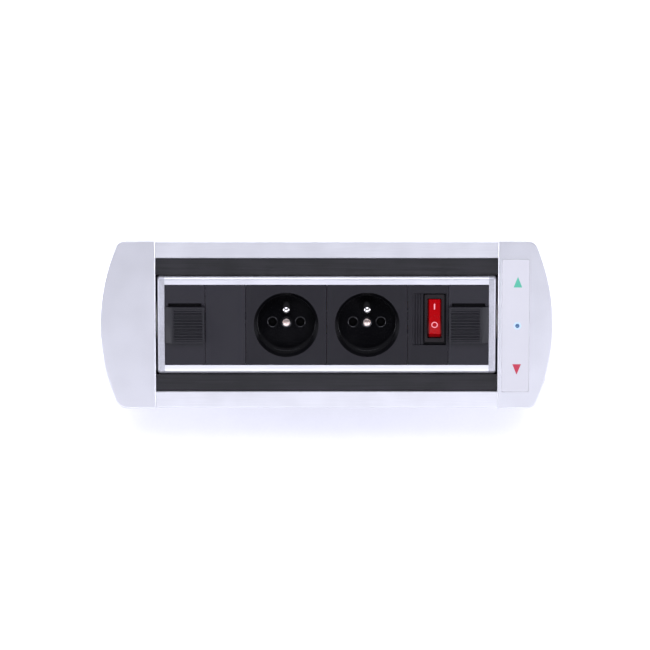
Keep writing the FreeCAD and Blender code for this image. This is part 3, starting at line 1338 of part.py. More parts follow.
def pocket_filler():
    """Grooved block that fills the pocket beside the switch."""
    start = MODULE_PITCH + POCKET_START
    end = SWITCH_X - BEZEL_WIDTH / 2 - FILLER_GAP
    top = POCKET_Z + FILLER_HEIGHT
    groove_floor = top - FILLER_GROOVE_DEPTH
    filler = box(start, end, POCKET_FRONT, POCKET_REAR, POCKET_Z, top)
    pitch = (end - start) / (FILLER_GROOVES + 1)
    grooves = []
    for number in range(1, FILLER_GROOVES + 1):
        groove_start = start + pitch * number - FILLER_GROOVE_WIDTH / 2
        groove_end = groove_start + FILLER_GROOVE_WIDTH
        grooves.append(box(groove_start, groove_end, POCKET_FRONT, POCKET_REAR, groove_floor, top))
    return filler.cut(grooves)


def switch_module():
    """Half module with a shallow pocket, part filled, round the rocker switch."""
    plate = module_plate(MODULE_PITCH, CATCH_X)
    start = MODULE_PITCH + POCKET_START
    end = MODULE_PITCH + POCKET_END
    pocket = box(start, end, POCKET_FRONT, POCKET_REAR, POCKET_Z, MODULE_FACE)
    half_x = SWITCH_BODY_WIDTH / 2 + SWITCH_WINDOW_PLAY
    half_y = SWITCH_BODY_LENGTH / 2 + SWITCH_WINDOW_PLAY
    window = box(SWITCH_X - half_x, SWITCH_X + half_x, SWITCH_CENTRE_Y - half_y, SWITCH_CENTRE_Y + half_y,
                 MODULE_UNDER, MODULE_FACE)
    return joined(plate.cut(pocket), pocket_filler()).cut(window)


def switch_block(width, length, z_start, z_end):
    """Block centred on the switch."""
    half_x = width / 2
    half_y = length / 2
    return box(SWITCH_X - half_x, SWITCH_X + half_x, SWITCH_CENTRE_Y - half_y, SWITCH_CENTRE_Y + half_y,
               z_start, z_end)


def switch_body():
    """Body and bezel of the rocker switch, open above for the rocker."""
    bezel_top = POCKET_Z + BEZEL_THICKNESS
    bezel = switch_block(BEZEL_WIDTH, BEZEL_LENGTH, POCKET_Z, bezel_top)
    bezel = rounded(bezel, BEZEL_ROUND, Z_AXIS)
    body = switch_block(SWITCH_BODY_WIDTH, SWITCH_BODY_LENGTH, POCKET_Z - SWITCH_BODY_DEPTH, POCKET_Z)
    well_length = 2 * (ROCKER_RADIUS + ROCKER_SWEEP_PLAY)
    well_width = ROCKER_WIDTH + 2 * ROCKER_PLAY
    well = switch_block(well_width, well_length, bezel_top - ROCKER_WELL, bezel_top)
    pivot_half = ROCKER_WIDTH / 2 + PIVOT_REACH + HOLE_PLAY
    pivot = rod(PIVOT_RADIUS + HOLE_PLAY, SWITCH_X - pivot_half, SWITCH_X + pivot_half,
                SWITCH_CENTRE_Y, PIVOT_Z)
    return joined(bezel, body).cut([well, pivot])


def switch_terminals():
    """Blade terminals under the switch."""
    blades = []
    half_x = BLADE_THICKNESS / 2
    half_y = BLADE_WIDTH / 2
    top = BLADE_END_Z + BLADE_LENGTH
    for x, y in blade_places(-1) + blade_places(1):
        blades.append(box(x - half_x, x + half_x, y - half_y, y + half_y, BLADE_END_Z, top))
    return group(blades)


def rocker():
    """Rocker with two flat halves that meet in a fold, its rear half pressed level."""
    half_turn = math.radians(ROCKER_TRAVEL / 2)
    slope = math.tan(half_turn)
    # The outer corner is where the sloping half meets the arc about the pivot.
    a = 1 + slope ** 2
    b = 2 * ROCKER_RIDGE * slope
    c = ROCKER_RIDGE ** 2 - ROCKER_RADIUS ** 2
    corner_y = (-b + math.sqrt(b ** 2 - 4 * a * c)) / (2 * a)
    corner_z = ROCKER_RIDGE + corner_y * slope
    skirt_y = math.sqrt(ROCKER_RADIUS ** 2 - ROCKER_SKIRT ** 2)
    start_x = SWITCH_X - ROCKER_WIDTH / 2

    def at(y, z):
        return Vector(start_x, SWITCH_CENTRE_Y + y, PIVOT_Z + z)

    edges = [
        Part.LineSegment(at(0, ROCKER_RIDGE), at(corner_y, corner_z)).toShape(),
        Part.Arc(at(corner_y, corner_z), at(ROCKER_RADIUS, 0), at(skirt_y, -ROCKER_SKIRT)).toShape(),
        Part.LineSegment(at(skirt_y, -ROCKER_SKIRT), at(-skirt_y, -ROCKER_SKIRT)).toShape(),
        Part.Arc(at(-skirt_y, -ROCKER_SKIRT), at(-ROCKER_RADIUS, 0), at(-corner_y, corner_z)).toShape(),
        Part.LineSegment(at(-corner_y, corner_z), at(0, ROCKER_RIDGE)).toShape(),
    ]
    body = Part.Face(Part.Wire(edges)).extrude(Vector(ROCKER_WIDTH, 0, 0))
    pivot_half = ROCKER_WIDTH / 2 + PIVOT_REACH
    pivot = rod(PIVOT_RADIUS, SWITCH_X - pivot_half, SWITCH_X + pivot_half, SWITCH_CENTRE_Y, PIVOT_Z)
    pivot_place = Vector(SWITCH_X, SWITCH_CENTRE_Y, PIVOT_Z)
    return joined(body, pivot).rotated(pivot_place, X_AXIS, -ROCKER_TRAVEL / 2)


def lead_sheath():
    """Sheathed lead through the hollow axle and along the floor of the drum."""
    bend_x = -DRUM_HALF_LENGTH + LEAD_STRAIGHT
    route = [
        (-(BRACKET_OUT + AXLE_TAIL), 0, 0),
        (bend_x, 0, 0),
        (bend_x + LEAD_SLOPE, 0, LEAD_Z),
        (MODULE_PITCH + BAR_TAIL / 2, 0, LEAD_Z),
    ]
    return lead(route, LEAD_RADIUS)


def core_start(number):
    """Place of one of the three cores at the end of the sheath."""
    angle = math.pi / 2 + 2 * math.pi * number / 3
    return CORE_CIRCLE * math.cos(angle), LEAD_Z + CORE_CIRCLE * math.sin(angle)


def blade_places(side_x):
    """Blades of the switch towards the sockets (-1) or away from them (+1), rear blade first."""
    x = SWITCH_X + side_x * BLADE_SPACING_X / 2
    return [(x, SWITCH_CENTRE_Y + side_y * BLADE_SPACING_Y / 2) for side_y in (1, -1)]


def lead_cores():
    """Live and neutral cores to the inlet blades, earth core to the earth bar."""
    start = MODULE_PITCH + BAR_TAIL / 2
    bar_end = MODULE_PITCH + BAR_TAIL
    earth_z = EARTH_BAR_Z + BAR_THICKNESS / 2
    earth_y, start_z = core_start(0)
    route = [
        (start, earth_y, start_z),
        (start + CORE_STRIP, earth_y, start_z),
        (bar_end + CORE_STRIP, EARTH_PIN_OFFSET, earth_z - CORE_RISE),
        (bar_end + CORE_STRIP, EARTH_PIN_OFFSET, earth_z),
        (bar_end, EARTH_PIN_OFFSET, earth_z),
    ]
    cores = [lead(route, CORE_RADIUS)]
    for number, (x, y) in zip((2, 1), blade_places(-1)):
        start_y, start_z = core_start(number)
        route = [
            (start, start_y, start_z),
            (start + CORE_STRIP, start_y, start_z),
            (x, y, LEAD_Z + CORE_RISE),
            (x, y, BLADE_END_Z),
        ]
        cores.append(lead(route, CORE_RADIUS))
    return cores


def switch_wires():
    """Wires from the outlet blades back to the neutral bar and the line bar."""
    bar_end = MODULE_PITCH + BAR_TAIL
    turn_x = bar_end + WIRE_SPREAD
    rear, front = blade_places(1)
    low = BLADE_END_Z - WIRE_DROP
    neutral_z = NEUTRAL_BAR_Z + BAR_THICKNESS / 2
    line_z = LINE_BAR_Z + BAR_THICKNESS / 2
    neutral_route = [
        (*rear, BLADE_END_Z),
        (*rear, low - WIRE_DROP),
        (rear[0] + WIRE_SPREAD, 0, low - WIRE_DROP),
        (rear[0] - WIRE_SPREAD, -BAR_OFFSET - WIRE_SPREAD, low - WIRE_DROP),
        (turn_x, -BAR_OFFSET, neutral_z),
        (bar_end, -BAR_OFFSET, neutral_z),
    ]
    line_route = [
        (*front, BLADE_END_Z),
        (*front, low),
        (front[0] - WIRE_SPREAD * 2, front[1] - WIRE_SPREAD * 2, low + WIRE_DROP / 2),
        (turn_x, -BAR_OFFSET, line_z),
        (bar_end, -BAR_OFFSET, line_z),
    ]
    return [lead(neutral_route, CORE_RADIUS), lead(line_route, CORE_RADIUS)]


# Sliding catches and the end modules that hold them

def left_catch_span():
    """Start and end of the left catch along the row."""
    return -DRUM_HALF_LENGTH + CATCH_END_GAP, -CATCH_X - CATCH_END_GAP


def left_grip_module():
    """End module: drops between the lips, stands on the ribs, hooks under the rear rib."""
    start = -DRUM_HALF_LENGTH + MODULE_GAP / 2
    end = -CATCH_X - MODULE_GAP / 2
    half = SLOT_HALF - SEAT_PLAY
    plate = box(start, end, -half, half, MODULE_UNDER, MODULE_FACE)
    leg = box(start, end, half - END_MODULE_LEG, half, RIB_TOP, MODULE_UNDER)
    stem_outer = RIB_INNER - CATCH_NECK_PLAY
    stem_inner = stem_outer - END_MODULE_HOOK
    toe_top = RIB_UNDER - CATCH_BOLT_PLAY
    toe_under = toe_top - CATCH_BOLT
    stem = box(start, end, stem_inner, stem_outer, toe_under, MODULE_UNDER)
    toe = box(start, end, stem_outer, RIB_INNER + CATCH_BOLT_GRIP, toe_under, toe_top)
    block_start, block_end = left_catch_span()
    neck_start = block_start + CATCH_NECK_INSET - CATCH_NECK_PLAY
    neck_end = block_end - CATCH_NECK_INSET + CATCH_NECK_PLAY
    window_front = -CATCH_HALF + CATCH_NECK_INSET - CATCH_NECK_PLAY
    slot_rear = CATCH_HALF + CATCH_TRAVEL + CATCH_SLOT_PLAY
    window = box(neck_start, neck_end, window_front, slot_rear, MODULE_UNDER, MODULE_FACE)
    return joined(plate, leg, mirror_y(leg), stem, toe).cut(window)


def left_catch():
    """Ribbed finger catch: slides to the rear to draw its bolt from under the front rib."""
    start, end = left_catch_span()
    under = MODULE_FACE + CATCH_FACE_PLAY
    top = under + CATCH_RISE
    outline = [
        (start, under),
        (end, under),
        (end, top),
        (start + CATCH_SLOPE, top),
        (start, under + CATCH_EDGE),
    ]
    block = prism_y(outline, -CATCH_HALF, CATCH_HALF)
    field_start = start + CATCH_SLOPE + CATCH_FIELD_BORDER
    field_end = end - CATCH_FIELD_BORDER
    field_half = CATCH_HALF - CATCH_FIELD_BORDER
    field_floor = top - CATCH_RIB_HEIGHT
    block = block.cut(box(field_start, field_end, -field_half, field_half, field_floor, top))
    ribs = []
    for number in range(CATCH_RIBS):
        y = CATCH_RIB_PITCH * (number - (CATCH_RIBS - 1) / 2)
        section = [
            (y - CATCH_RIB_FOOT, field_floor),
            (y + CATCH_RIB_FOOT, field_floor),
            (y + CATCH_RIB_CREST, top),
            (y - CATCH_RIB_CREST, top),
        ]
        ribs.append(prism_x(section, field_start, field_end))
    carrier_top = MODULE_UNDER - CATCH_CARRIER_PLAY
    carrier_under = carrier_top - CATCH_CARRIER
    neck_start = start + CATCH_NECK_INSET
    neck_end = end - CATCH_NECK_INSET
    neck = box(neck_start, neck_end, -CATCH_HALF + CATCH_NECK_INSET, CATCH_HALF, carrier_under, under)
    bolt_top = RIB_UNDER - CATCH_BOLT_PLAY
    bolt_under = bolt_top - CATCH_BOLT
    leg_front = -RIB_INNER + CATCH_BOLT_GRIP
    leg_rear = leg_front + CATCH_LEG
    bolt_front = -RIB_INNER - CATCH_BOLT_GRIP
    start += CATCH_CARRIER_INSET
    end -= CATCH_CARRIER_INSET
    carrier = box(start, end, leg_front, CATCH_CARRIER_REAR, carrier_under, carrier_top)
    leg = box(start, end, leg_front, leg_rear, bolt_under, carrier_under)
    bolt = box(start, end, bolt_front, leg_rear, bolt_under, bolt_top)
    return joined(block, *ribs, neck, carrier, leg, bolt)


FRAME_PIECES = {
    "front_rail": mirror_y(rear_rail()),
    "rear_rail": rear_rail(),
    "lip_strips": lip_strips(),
    "left_end_cap": mirror_x(plain_cap()),
    "right_end_cap": right_end_cap(),
    "touch_panel": touch_panel(),
    "touch_board": touch_board(),
    "status_led": status_led(),
    "housing_trough": housing_trough(),
    "left_end_wall": left_end_wall(),
    "right_end_wall": right_end_wall(),
    "left_bearing_bracket": mirror_x(bearing_bracket()),
    "right_bearing_bracket": right_bearing_bracket(),
    "frame_screws": frame_screws(),
    "left_clamp_claw": mirror_x(right_clamp_claw()),
    "right_clamp_claw": right_clamp_claw(),
    "clamp_screws": clamp_screws(),
    "gland_body": gland_body(),
    "gland_seal": gland_seal(),
    "gland_nut": gland_nut(),
    "gland_locknut": gland_locknut(),
    "terminal_block": terminal_block(),
    "terminal_lead": terminal_lead(),
    "control_board": control_board(),
    "board_spacers": board_spacers(),
    "board_components": board_components(),
}

AXIS_PIECES = {
    "axle_bushes": axle_bushes(),
    "drive_motor": drive_motor(),
    "motor_gearbox": motor_gearbox(),
    "idler_post": idler_post(),
    "idler_gear": idler_gear(),
    "drive_pinion": drive_pinion(),
    "drum_gear": drum_gear(),
    "drum_profile": drum_profile(),
    "left_end_plate": mirror_x(right_end_plate()),
    "right_end_plate": right_end_plate(),
    "left_axle": left_axle(),
    "right_axle": right_axle(),
    "axle_ring": axle_ring(),
    "drum_screws": drum_screws(),
    "blank_module": blank_module(),
    "left_socket": socket(SOCKET_CENTRES[0]),
    "right_socket": socket(SOCKET_CENTRES[1]),
    "socket_backs": group([socket_back(x) for x in SOCKET_CENTRES]),
    "left_shutter": shutter(SOCKET_CENTRES[0]),
    "right_shutter": shutter(SOCKET_CENTRES[1]),
    "earth_pins": earth_pins(),
    "centre_screws": centre_screws(),
    "line_busbar": line_busbar(),
    "neutral_busbar": neutral_busbar(),
    "earth_busbar": earth_busbar(),
    "switch_module": switch_module(),
    "switch_body": switch_body(),
    "switch_terminals": switch_terminals(),
    "rocker": rocker(),
    "drum_lead": group([lead_sheath()] + lead_cores() + switch_wires()),
    "left_grip_module": left_grip_module(),
    "right_grip_module": mirror_x(left_grip_module()),
    "left_catch": left_catch(),
    "right_catch": mirror_x(left_catch()),
}

os.makedirs("parts", exist_ok=True)
for name, shape in FRAME_PIECES.items():
    shape.exportStep("parts/" + name + ".step")
for name, shape in AXIS_PIECES.items():
    on_axis(shape).exportStep("parts/" + name + ".step")
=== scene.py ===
"""Looks of a rotating desk socket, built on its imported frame.

Size fields are in millimetres and meshes are written in metres, in the frame of the part:
+X along the row towards the touch panel, +Y towards the rear rail, +Z up out of the worktop.
"""

import json
import logging
import math
from dataclasses import dataclass
from enum import Enum
from typing import Any, Callable, Sequence

import bmesh
import bpy
import numpy as np
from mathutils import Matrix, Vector

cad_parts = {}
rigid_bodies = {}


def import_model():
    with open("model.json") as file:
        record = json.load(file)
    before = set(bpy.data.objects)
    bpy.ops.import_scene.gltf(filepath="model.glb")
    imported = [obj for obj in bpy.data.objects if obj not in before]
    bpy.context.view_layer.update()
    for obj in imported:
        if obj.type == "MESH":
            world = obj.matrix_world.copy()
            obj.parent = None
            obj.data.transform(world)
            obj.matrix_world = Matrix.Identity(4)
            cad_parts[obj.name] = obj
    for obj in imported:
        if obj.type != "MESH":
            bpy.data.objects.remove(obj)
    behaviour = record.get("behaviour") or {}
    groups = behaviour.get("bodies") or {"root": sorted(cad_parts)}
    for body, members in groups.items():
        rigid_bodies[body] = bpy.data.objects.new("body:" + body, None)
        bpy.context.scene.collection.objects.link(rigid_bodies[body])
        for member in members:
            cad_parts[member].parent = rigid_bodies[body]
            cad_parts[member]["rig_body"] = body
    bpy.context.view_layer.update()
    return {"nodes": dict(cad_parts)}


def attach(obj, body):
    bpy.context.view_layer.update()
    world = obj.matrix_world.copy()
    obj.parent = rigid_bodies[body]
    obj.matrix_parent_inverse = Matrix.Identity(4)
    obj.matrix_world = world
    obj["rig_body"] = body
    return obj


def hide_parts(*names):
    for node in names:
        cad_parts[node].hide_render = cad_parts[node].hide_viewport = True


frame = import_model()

MM = 0.001
WELD = 0.002 * MM  # points nearer to each other than this are one
CREASE = math.radians(35)  # a sharper bend than this is an edge
FLAT = math.radians(0.5)  # neighbouring faces that bend less make one flat face
CLOUD_MM = 18.0  # size of the slow clouds in tint and gloss
COAT_ROUGHNESS = 0.08
SPREAD_MM = 2.0  # how far light runs inside milky plastics
SPREAD_SHARES = (1.0, 0.7, 0.5)  # red runs further than green and blue
# Numbers of the sockets of a colour mix, which share their names with others.
MIX_FACTOR, MIX_FIRST, MIX_SECOND, MIX_COLOUR = 0, 6, 7, 2
Link = tuple[bpy.types.Node, str | int]
LOG = logging.getLogger("desk_socket")


def linear(hex_colour: str) -> tuple[float, float, float, float]:
    """Turn an sRGB hex value into a linear colour.

    Args:
        hex_colour: six hex digits.

    Returns:
        Linear red, green, blue and an alpha of 1.
    """
    parts = [int(hex_colour[i:i + 2], 16) / 255 for i in (0, 2, 4)]
    red, green, blue = (p / 12.92 if p <= 0.04045 else ((p + 0.055) / 1.055) ** 2.4 for p in parts)
    return red, green, blue, 1.0


def add_node(tree: bpy.types.NodeTree, kind: str, settings: dict[str | int, Any] | None = None,
             links: dict[str | int, Link] | None = None) -> bpy.types.Node:
    """Add a node with its settings and its incoming links.

    Args:
        tree: the tree that gets the node.
        kind: name of the node type, without its ShaderNode prefix.
        settings: values of properties, and of input sockets by name or number.
        links: for an input socket's name or number, the node and output that feed it.

    Returns:
        The new node.
    """
    node = tree.nodes.new("ShaderNode" + kind)
    for name, value in (settings or {}).items():
        if isinstance(name, str) and name in node.bl_rna.properties and name not in node.inputs:
            setattr(node, name, value)
        else:
            node.inputs[name].default_value = value
    for name, (source, output) in (links or {}).items():
        tree.links.new(source.outputs[output], node.inputs[name])
    return node


class Grain(Enum):
    """How a surface was made, as the stretch of its grain along x, y and z."""

    EVEN = (1.0, 1.0, 1.0)
    DRAWN_ALONG_X = (0.02, 1.0, 1.0)
    DRAWN_ALONG_Y = (1.0, 0.02, 1.0)
    TURNED_ABOUT_X = (1.0, 0.15, 0.15)


class Body(Enum):
    """Bodies of the frame that the new pieces ride on."""

    FRAME = "frame"
    DRUM = "drum"
    ROCKER = "rocker_body"


@dataclass(frozen=True)
class Finish:
    """A surface as its maker knows it.

    The grain is a noise of the real grain size, in object coordinates, that tilts the normals;
    slow clouds, as mould flow and handling leave them, vary tint and roughness a little.
    """

    name: str
    colour: str
    roughness: float
    metallic: float = 0.0
    ior: float = 1.5
    grain_mm: float = 0.5
    grain_height_mm: float = 0.01
    grain: Grain = Grain.EVEN
    roughness_spread: float = 0.06
    shade_spread: float = 0.03
    coat: float = 0.0
    subsurface: float = 0.0
    emission: float = 0.0

    def build(self) -> bpy.types.Material:
        """Make the material, once.

        Returns:
            The material with this finish's name.
        """
        known = bpy.data.materials.get(self.name)
        if known:
            return known
        material = bpy.data.materials.new(self.name)
        material.use_nodes = True
        tree = material.node_tree
        tree.nodes.clear()
        place = add_node(tree, "TexCoord")
        mapping = add_node(tree, "Mapping", {"Scale": self.grain.value},
                           {"Vector": (place, "Object")})
        grain = add_node(tree, "TexNoise", {"Scale": 1 / (self.grain_mm * MM), "Detail": 3.0},
                         {"Vector": (mapping, "Vector")})
        cloud = add_node(tree, "TexNoise", {"Scale": 1 / (CLOUD_MM * MM), "Detail": 2.0},
                         {"Vector": (place, "Object")})
        shader = add_node(tree, "BsdfPrincipled", self.whole_surface(),
                          self.patterns(tree, grain, cloud))
        add_node(tree, "OutputMaterial", links={"Surface": (shader, "BSDF")})
        return material

    def whole_surface(self) -> dict[str | int, Any]:
        """Numbers that are the same all over the surface.

        Returns:
            Values of the shader's inputs.
        """
        values = {"Metallic": self.metallic, "IOR": self.ior, "Coat Weight": self.coat,
                  "Coat Roughness": COAT_ROUGHNESS, "Subsurface Weight": self.subsurface,
                  "Subsurface Radius": SPREAD_SHARES, "Subsurface Scale": SPREAD_MM * MM}
        if self.emission:
            values["Emission Color"] = linear(self.colour)
            values["Emission Strength"] = self.emission
        return values

    def patterns(self, tree: bpy.types.NodeTree, grain: bpy.types.Node,
                 cloud: bpy.types.Node) -> dict[str | int, Link]:
        """Tint, roughness and normals that vary over the surface.

        Args:
            tree: the material's tree.
            grain: noise of the grain's size.
            cloud: slow noise of the clouds' size.

        Returns:
            Links for the shader's inputs.
        """
        colour = linear(self.colour)
        dark = tuple(c * (1 - self.shade_spread) for c in colour[:3]) + (1.0,)
        light = tuple(min(1.0, c * (1 + self.shade_spread)) for c in colour[:3]) + (1.0,)
        both = add_node(tree, "Math", {"operation": "ADD"}, {0: (grain, "Fac"), 1: (cloud, "Fac")})
        tint = add_node(tree, "MapRange", {
            "interpolation_type": "SMOOTHSTEP", "From Min": 0.7, "From Max": 1.3,
        }, {"Value": (both, "Value")})
        paint = add_node(tree, "Mix", {"data_type": "RGBA", MIX_FIRST: dark, MIX_SECOND: light},
                         {MIX_FACTOR: (tint, "Result")})
        rough = add_node(tree, "MapRange", {
            "interpolation_type": "SMOOTHSTEP", "From Min": 0.25, "From Max": 0.75,
            "To Min": self.roughness - self.roughness_spread,
            "To Max": self.roughness + self.roughness_spread,
        }, {"Value": (cloud, "Fac")})
        bump = add_node(tree, "Bump", {"Distance": self.grain_height_mm * MM},
                        {"Height": (grain, "Fac")})
        return {"Base Color": (paint, MIX_COLOUR), "Roughness": (rough, "Result"),
                "Normal": (bump, "Normal")}


@dataclass(frozen=True)
class RockerPlastic(Finish):
    """Clear plastic of a rocker: its middle glows, and its sides carry painted shade.

    The distance from the middle line, across the rocker, darkens the tint towards both sides:
    painted shade where the rounded flanks turn away beside the dark bezel.
    """

    middle_mm: float = 73.2
    unshaded_mm: float = 3.1
    shaded_mm: float = 4.3
    painted_side_shade: tuple[float, float, float, float] = (0.12, 0.2, 0.2, 1.0)

    def patterns(self, tree: bpy.types.NodeTree, grain: bpy.types.Node,
                 cloud: bpy.types.Node) -> dict[str | int, Link]:
        """Patterns of the plain finish, with the tint darkened towards the sides as painted shade.

        Args:
            tree: the material's tree.
            grain: noise of the grain's size.
            cloud: slow noise of the clouds' size.

        Returns:
            Links for the shader's inputs.
        """
        links = super().patterns(tree, grain, cloud)
        place = add_node(tree, "TexCoord")
        split = add_node(tree, "SeparateXYZ", links={"Vector": (place, "Object")})
        across = add_node(tree, "Math", {"operation": "SUBTRACT", 1: self.middle_mm * MM},
                          {0: (split, "X")})
        away = add_node(tree, "Math", {"operation": "ABSOLUTE"}, {0: (across, "Value")})
        # Painted shade: the tint darkens from the clear middle towards both sides of the rocker.
        shade_share = add_node(tree, "MapRange", {
            "interpolation_type": "SMOOTHSTEP", "From Min": self.unshaded_mm * MM,
            "From Max": self.shaded_mm * MM,
        }, {"Value": (away, "Value")})
        shaded = add_node(tree, "Mix", {
            "data_type": "RGBA", "blend_type": "MULTIPLY", MIX_SECOND: self.painted_side_shade,
        }, {MIX_FACTOR: (shade_share, "Result"), MIX_FIRST: links["Base Color"]})
        return {**links, "Base Color": (shaded, MIX_COLOUR)}


# Anodised 6060 extrusion: a fine etched sheen that runs along the bar and blurs reflections.
RAIL_ALUMINIUM = Finish("anodised_aluminium_rail", "EDEDEE", 0.36, metallic=1.0, grain_mm=0.4,
                        grain_height_mm=0.004, grain=Grain.DRAWN_ALONG_X, roughness_spread=0.01)
DRUM_ALUMINIUM = Finish("anodised_aluminium_drum", "F1F1F3", 0.42, metallic=1.0, grain_mm=0.4,
                        grain_height_mm=0.004, grain=Grain.DRAWN_ALONG_X, roughness_spread=0.02)
# Die-cast zinc alloy under matt lacquer: cooler and a little darker than the extrusions.
PLATE_CASTING = Finish("lacquered_zinc_casting", "BEBEC2", 0.45, metallic=0.9, grain_mm=1.3,
                       grain_height_mm=0.02, shade_spread=0.08)
# ABS sprayed silver: metal flake under matt lacquer, so it is soft and slightly grainy.
SILVER_ABS = Finish("silver_painted_abs", "E1E1E3", 0.31, metallic=0.9, grain_mm=0.5,
                    grain_height_mm=0.01, roughness_spread=0.008, shade_spread=0.02)
# Co-extruded black PVC: faint streaks along its length, as the die leaves them, and dull.
BLACK_PVC = Finish("extruded_black_pvc", "0F0E10", 0.55, ior=1.47, grain_mm=0.9,
                   grain_height_mm=0.05, grain=Grain.DRAWN_ALONG_X, shade_spread=0.7)
# Black ABS from a spark-eroded mould: the even grain scatters light and greys the face.
BLACK_ABS = Finish("spark_eroded_black_abs", "0F0D13", 0.52, ior=1.47, grain_mm=0.6,
                   grain_height_mm=0.03, shade_spread=0.12)
# The outlets and the switch plate come from another mould, whose grain is a little finer.
OUTLET_ABS = Finish("fine_eroded_black_abs", "0A080D", 0.52, ior=1.41, grain_mm=0.5,
                    grain_height_mm=0.02, shade_spread=0.12)
GRIP_ABS = Finish("ribbed_black_abs", "0D0C10", 0.5, ior=1.45, grain_mm=0.6, grain_height_mm=0.02,
                  shade_spread=0.12)
# The outlets' mouths and the slit round the switch are polished part of the way, so what they
# mirror is soft; their tint is painted darker than the faces, as shade in the slit and on the
# mouths' bevels.
POLISHED_ABS_PAINTED_SHADE = Finish("half_polished_black_abs_painted_shade", "020203", 0.3, ior=1.22, grain_mm=0.6,
                   grain_height_mm=0.006, shade_spread=0.1)
# Polycarbonate of the outlets: moulded smooth, so the cups stay dark and show crisp glints.
BLACK_POLYCARBONATE = Finish("smooth_black_polycarbonate", "050506", 0.1, ior=1.58, grain_mm=0.8,
                             grain_height_mm=0.004, shade_spread=0.1, roughness_spread=0.03)
# The shutters' acetal lies deep in the pin holes and is dull; its tint is painted near black and
# its reflection damped, as painted shade, so that the holes read as black.
SHUTTER_ACETAL_PAINTED_SHADE = Finish("dull_black_acetal_painted_shade", "020202", 0.6, ior=1.12, grain_mm=0.5,
                        grain_height_mm=0.01)
# Back-printed polyester film: the silver print lies under a clear face, so it gleams evenly.
PANEL_FILM = Finish("back_printed_polyester_film", "A3A2A4", 0.3, ior=1.57, grain_mm=0.5,
                    grain_height_mm=0.002, coat=0.25, roughness_spread=0.02, shade_spread=0.01)
GREEN_INK = Finish("green_screen_ink", "3E9078", 0.35, grain_mm=0.4, grain_height_mm=0.003)
RED_INK = Finish("red_screen_ink", "952236", 0.35, grain_mm=0.4, grain_height_mm=0.003)
# Light from the diode scatters in the film round it and leaves a pale halo.
LIT_FILM = Finish("lit_polyester_film", "93AACB", 0.35, ior=1.57, grain_mm=0.5,
                  grain_height_mm=0.002, emission=0.12, shade_spread=0.01, roughness_spread=0.02)
# The lens is clear blue epoxy, so it looks darker than the film that it lights.
LED_LENS = Finish("blue_epoxy_lens", "35546F", 0.08, ior=1.7, emission=0.06)
# Clear red polycarbonate: light that spreads in it deepens the middle, and the sides are darkened
# with painted shade.
RED_POLYCARBONATE = RockerPlastic("clear_red_polycarbonate", "850408", 0.12, ior=1.15, grain_mm=1.5,
                                  grain_height_mm=0.004, subsurface=0.3)
# Thin white ink lets the red below it through, so the marks look pink.
WHITE_INK = Finish("white_pad_print", "CC7E84", 0.4, grain_mm=0.4, grain_height_mm=0.003)
SWITCH_NYLON = Finish("black_glass_nylon", "0D0708", 0.4, ior=1.36, grain_mm=0.6,
                      grain_height_mm=0.012)
# Powder coat: cured droplets leave an orange-peel skin, satin black.
POWDER_COAT = Finish("black_powder_coat", "1B1B1E", 0.5, grain_mm=1.1, grain_height_mm=0.06,
                     shade_spread=0.04, roughness_spread=0.015)
# Zinc plating over rolled sheet: bluish, with the rolling lines still there.
ZINC_SHEET = Finish("zinc_plated_sheet", "B4B8C0", 0.36, metallic=1.0, grain_mm=0.7,
                    grain_height_mm=0.008, grain=Grain.DRAWN_ALONG_Y, roughness_spread=0.1,
                    shade_spread=0.08)
ZINC_SCREW = Finish("zinc_plated_screw", "C2C5CA", 0.3, metallic=1.0, grain_mm=0.3,
                    grain_height_mm=0.004)
# Turned steel keeps rings from the tool about its axis.
TURNED_STEEL = Finish("turned_free_cutting_steel", "AFB2B7", 0.28, metallic=1.0, grain_mm=0.3,
                      grain_height_mm=0.008, grain=Grain.TURNED_ABOUT_X)
ACETAL = Finish("natural_acetal", "E6E3D8", 0.35, ior=1.48, subsurface=0.25, grain_mm=0.8,
                grain_height_mm=0.005)
MOTOR_CAN = Finish("drawn_nickelled_can", "ABAEB3", 0.3, metallic=1.0, grain_mm=0.5,
                   grain_height_mm=0.004, grain=Grain.DRAWN_ALONG_X)
BRASS = Finish("stamped_brass", "D0A95C", 0.3, metallic=1.0, grain_mm=0.4, grain_height_mm=0.005,
               grain=Grain.DRAWN_ALONG_X, shade_spread=0.06)
# Bright nickel is almost a mirror, so the earth pins flash white against the cups.
NICKEL_PLATE = Finish("bright_nickel_plate", "F2EFEA", 0.16, metallic=1.0, grain_mm=0.6,
                      grain_height_mm=0.001, roughness_spread=0.03)
# Yellow chromate over zinc: a warm, slightly cloudy white on the heads of the centre screws.
CHROMATED_STEEL = Finish("chromated_steel", "E9D8CE", 0.3, metallic=1.0, grain_mm=0.5,
                         grain_height_mm=0.004, shade_spread=0.06)
SEAL_RUBBER = Finish("moulded_nitrile_rubber", "0E0E0F", 0.7, grain_mm=0.5, grain_height_mm=0.02)
GLAND_POLYAMIDE = Finish("black_polyamide", "141416", 0.48, ior=1.53, grain_mm=0.6,
                         grain_height_mm=0.015)
LEAD_PVC = Finish("black_pvc_sheath", "121214", 0.45, grain_mm=0.8, grain_height_mm=0.01)
BOARD_MASK = Finish("solder_mask_on_glass_fibre", "14532F", 0.3, ior=1.55, grain_mm=0.8,
                    grain_height_mm=0.01, coat=0.3, shade_spread=0.15)
COMPONENT_EPOXY = Finish("moulded_epoxy", "18181B", 0.5, grain_mm=0.4, grain_height_mm=0.01)
STUDIO_PAPER = Finish("white_background_paper", "F2F2F5", 0.95, grain_mm=2.0, grain_height_mm=0.01,
                      shade_spread=0.01)

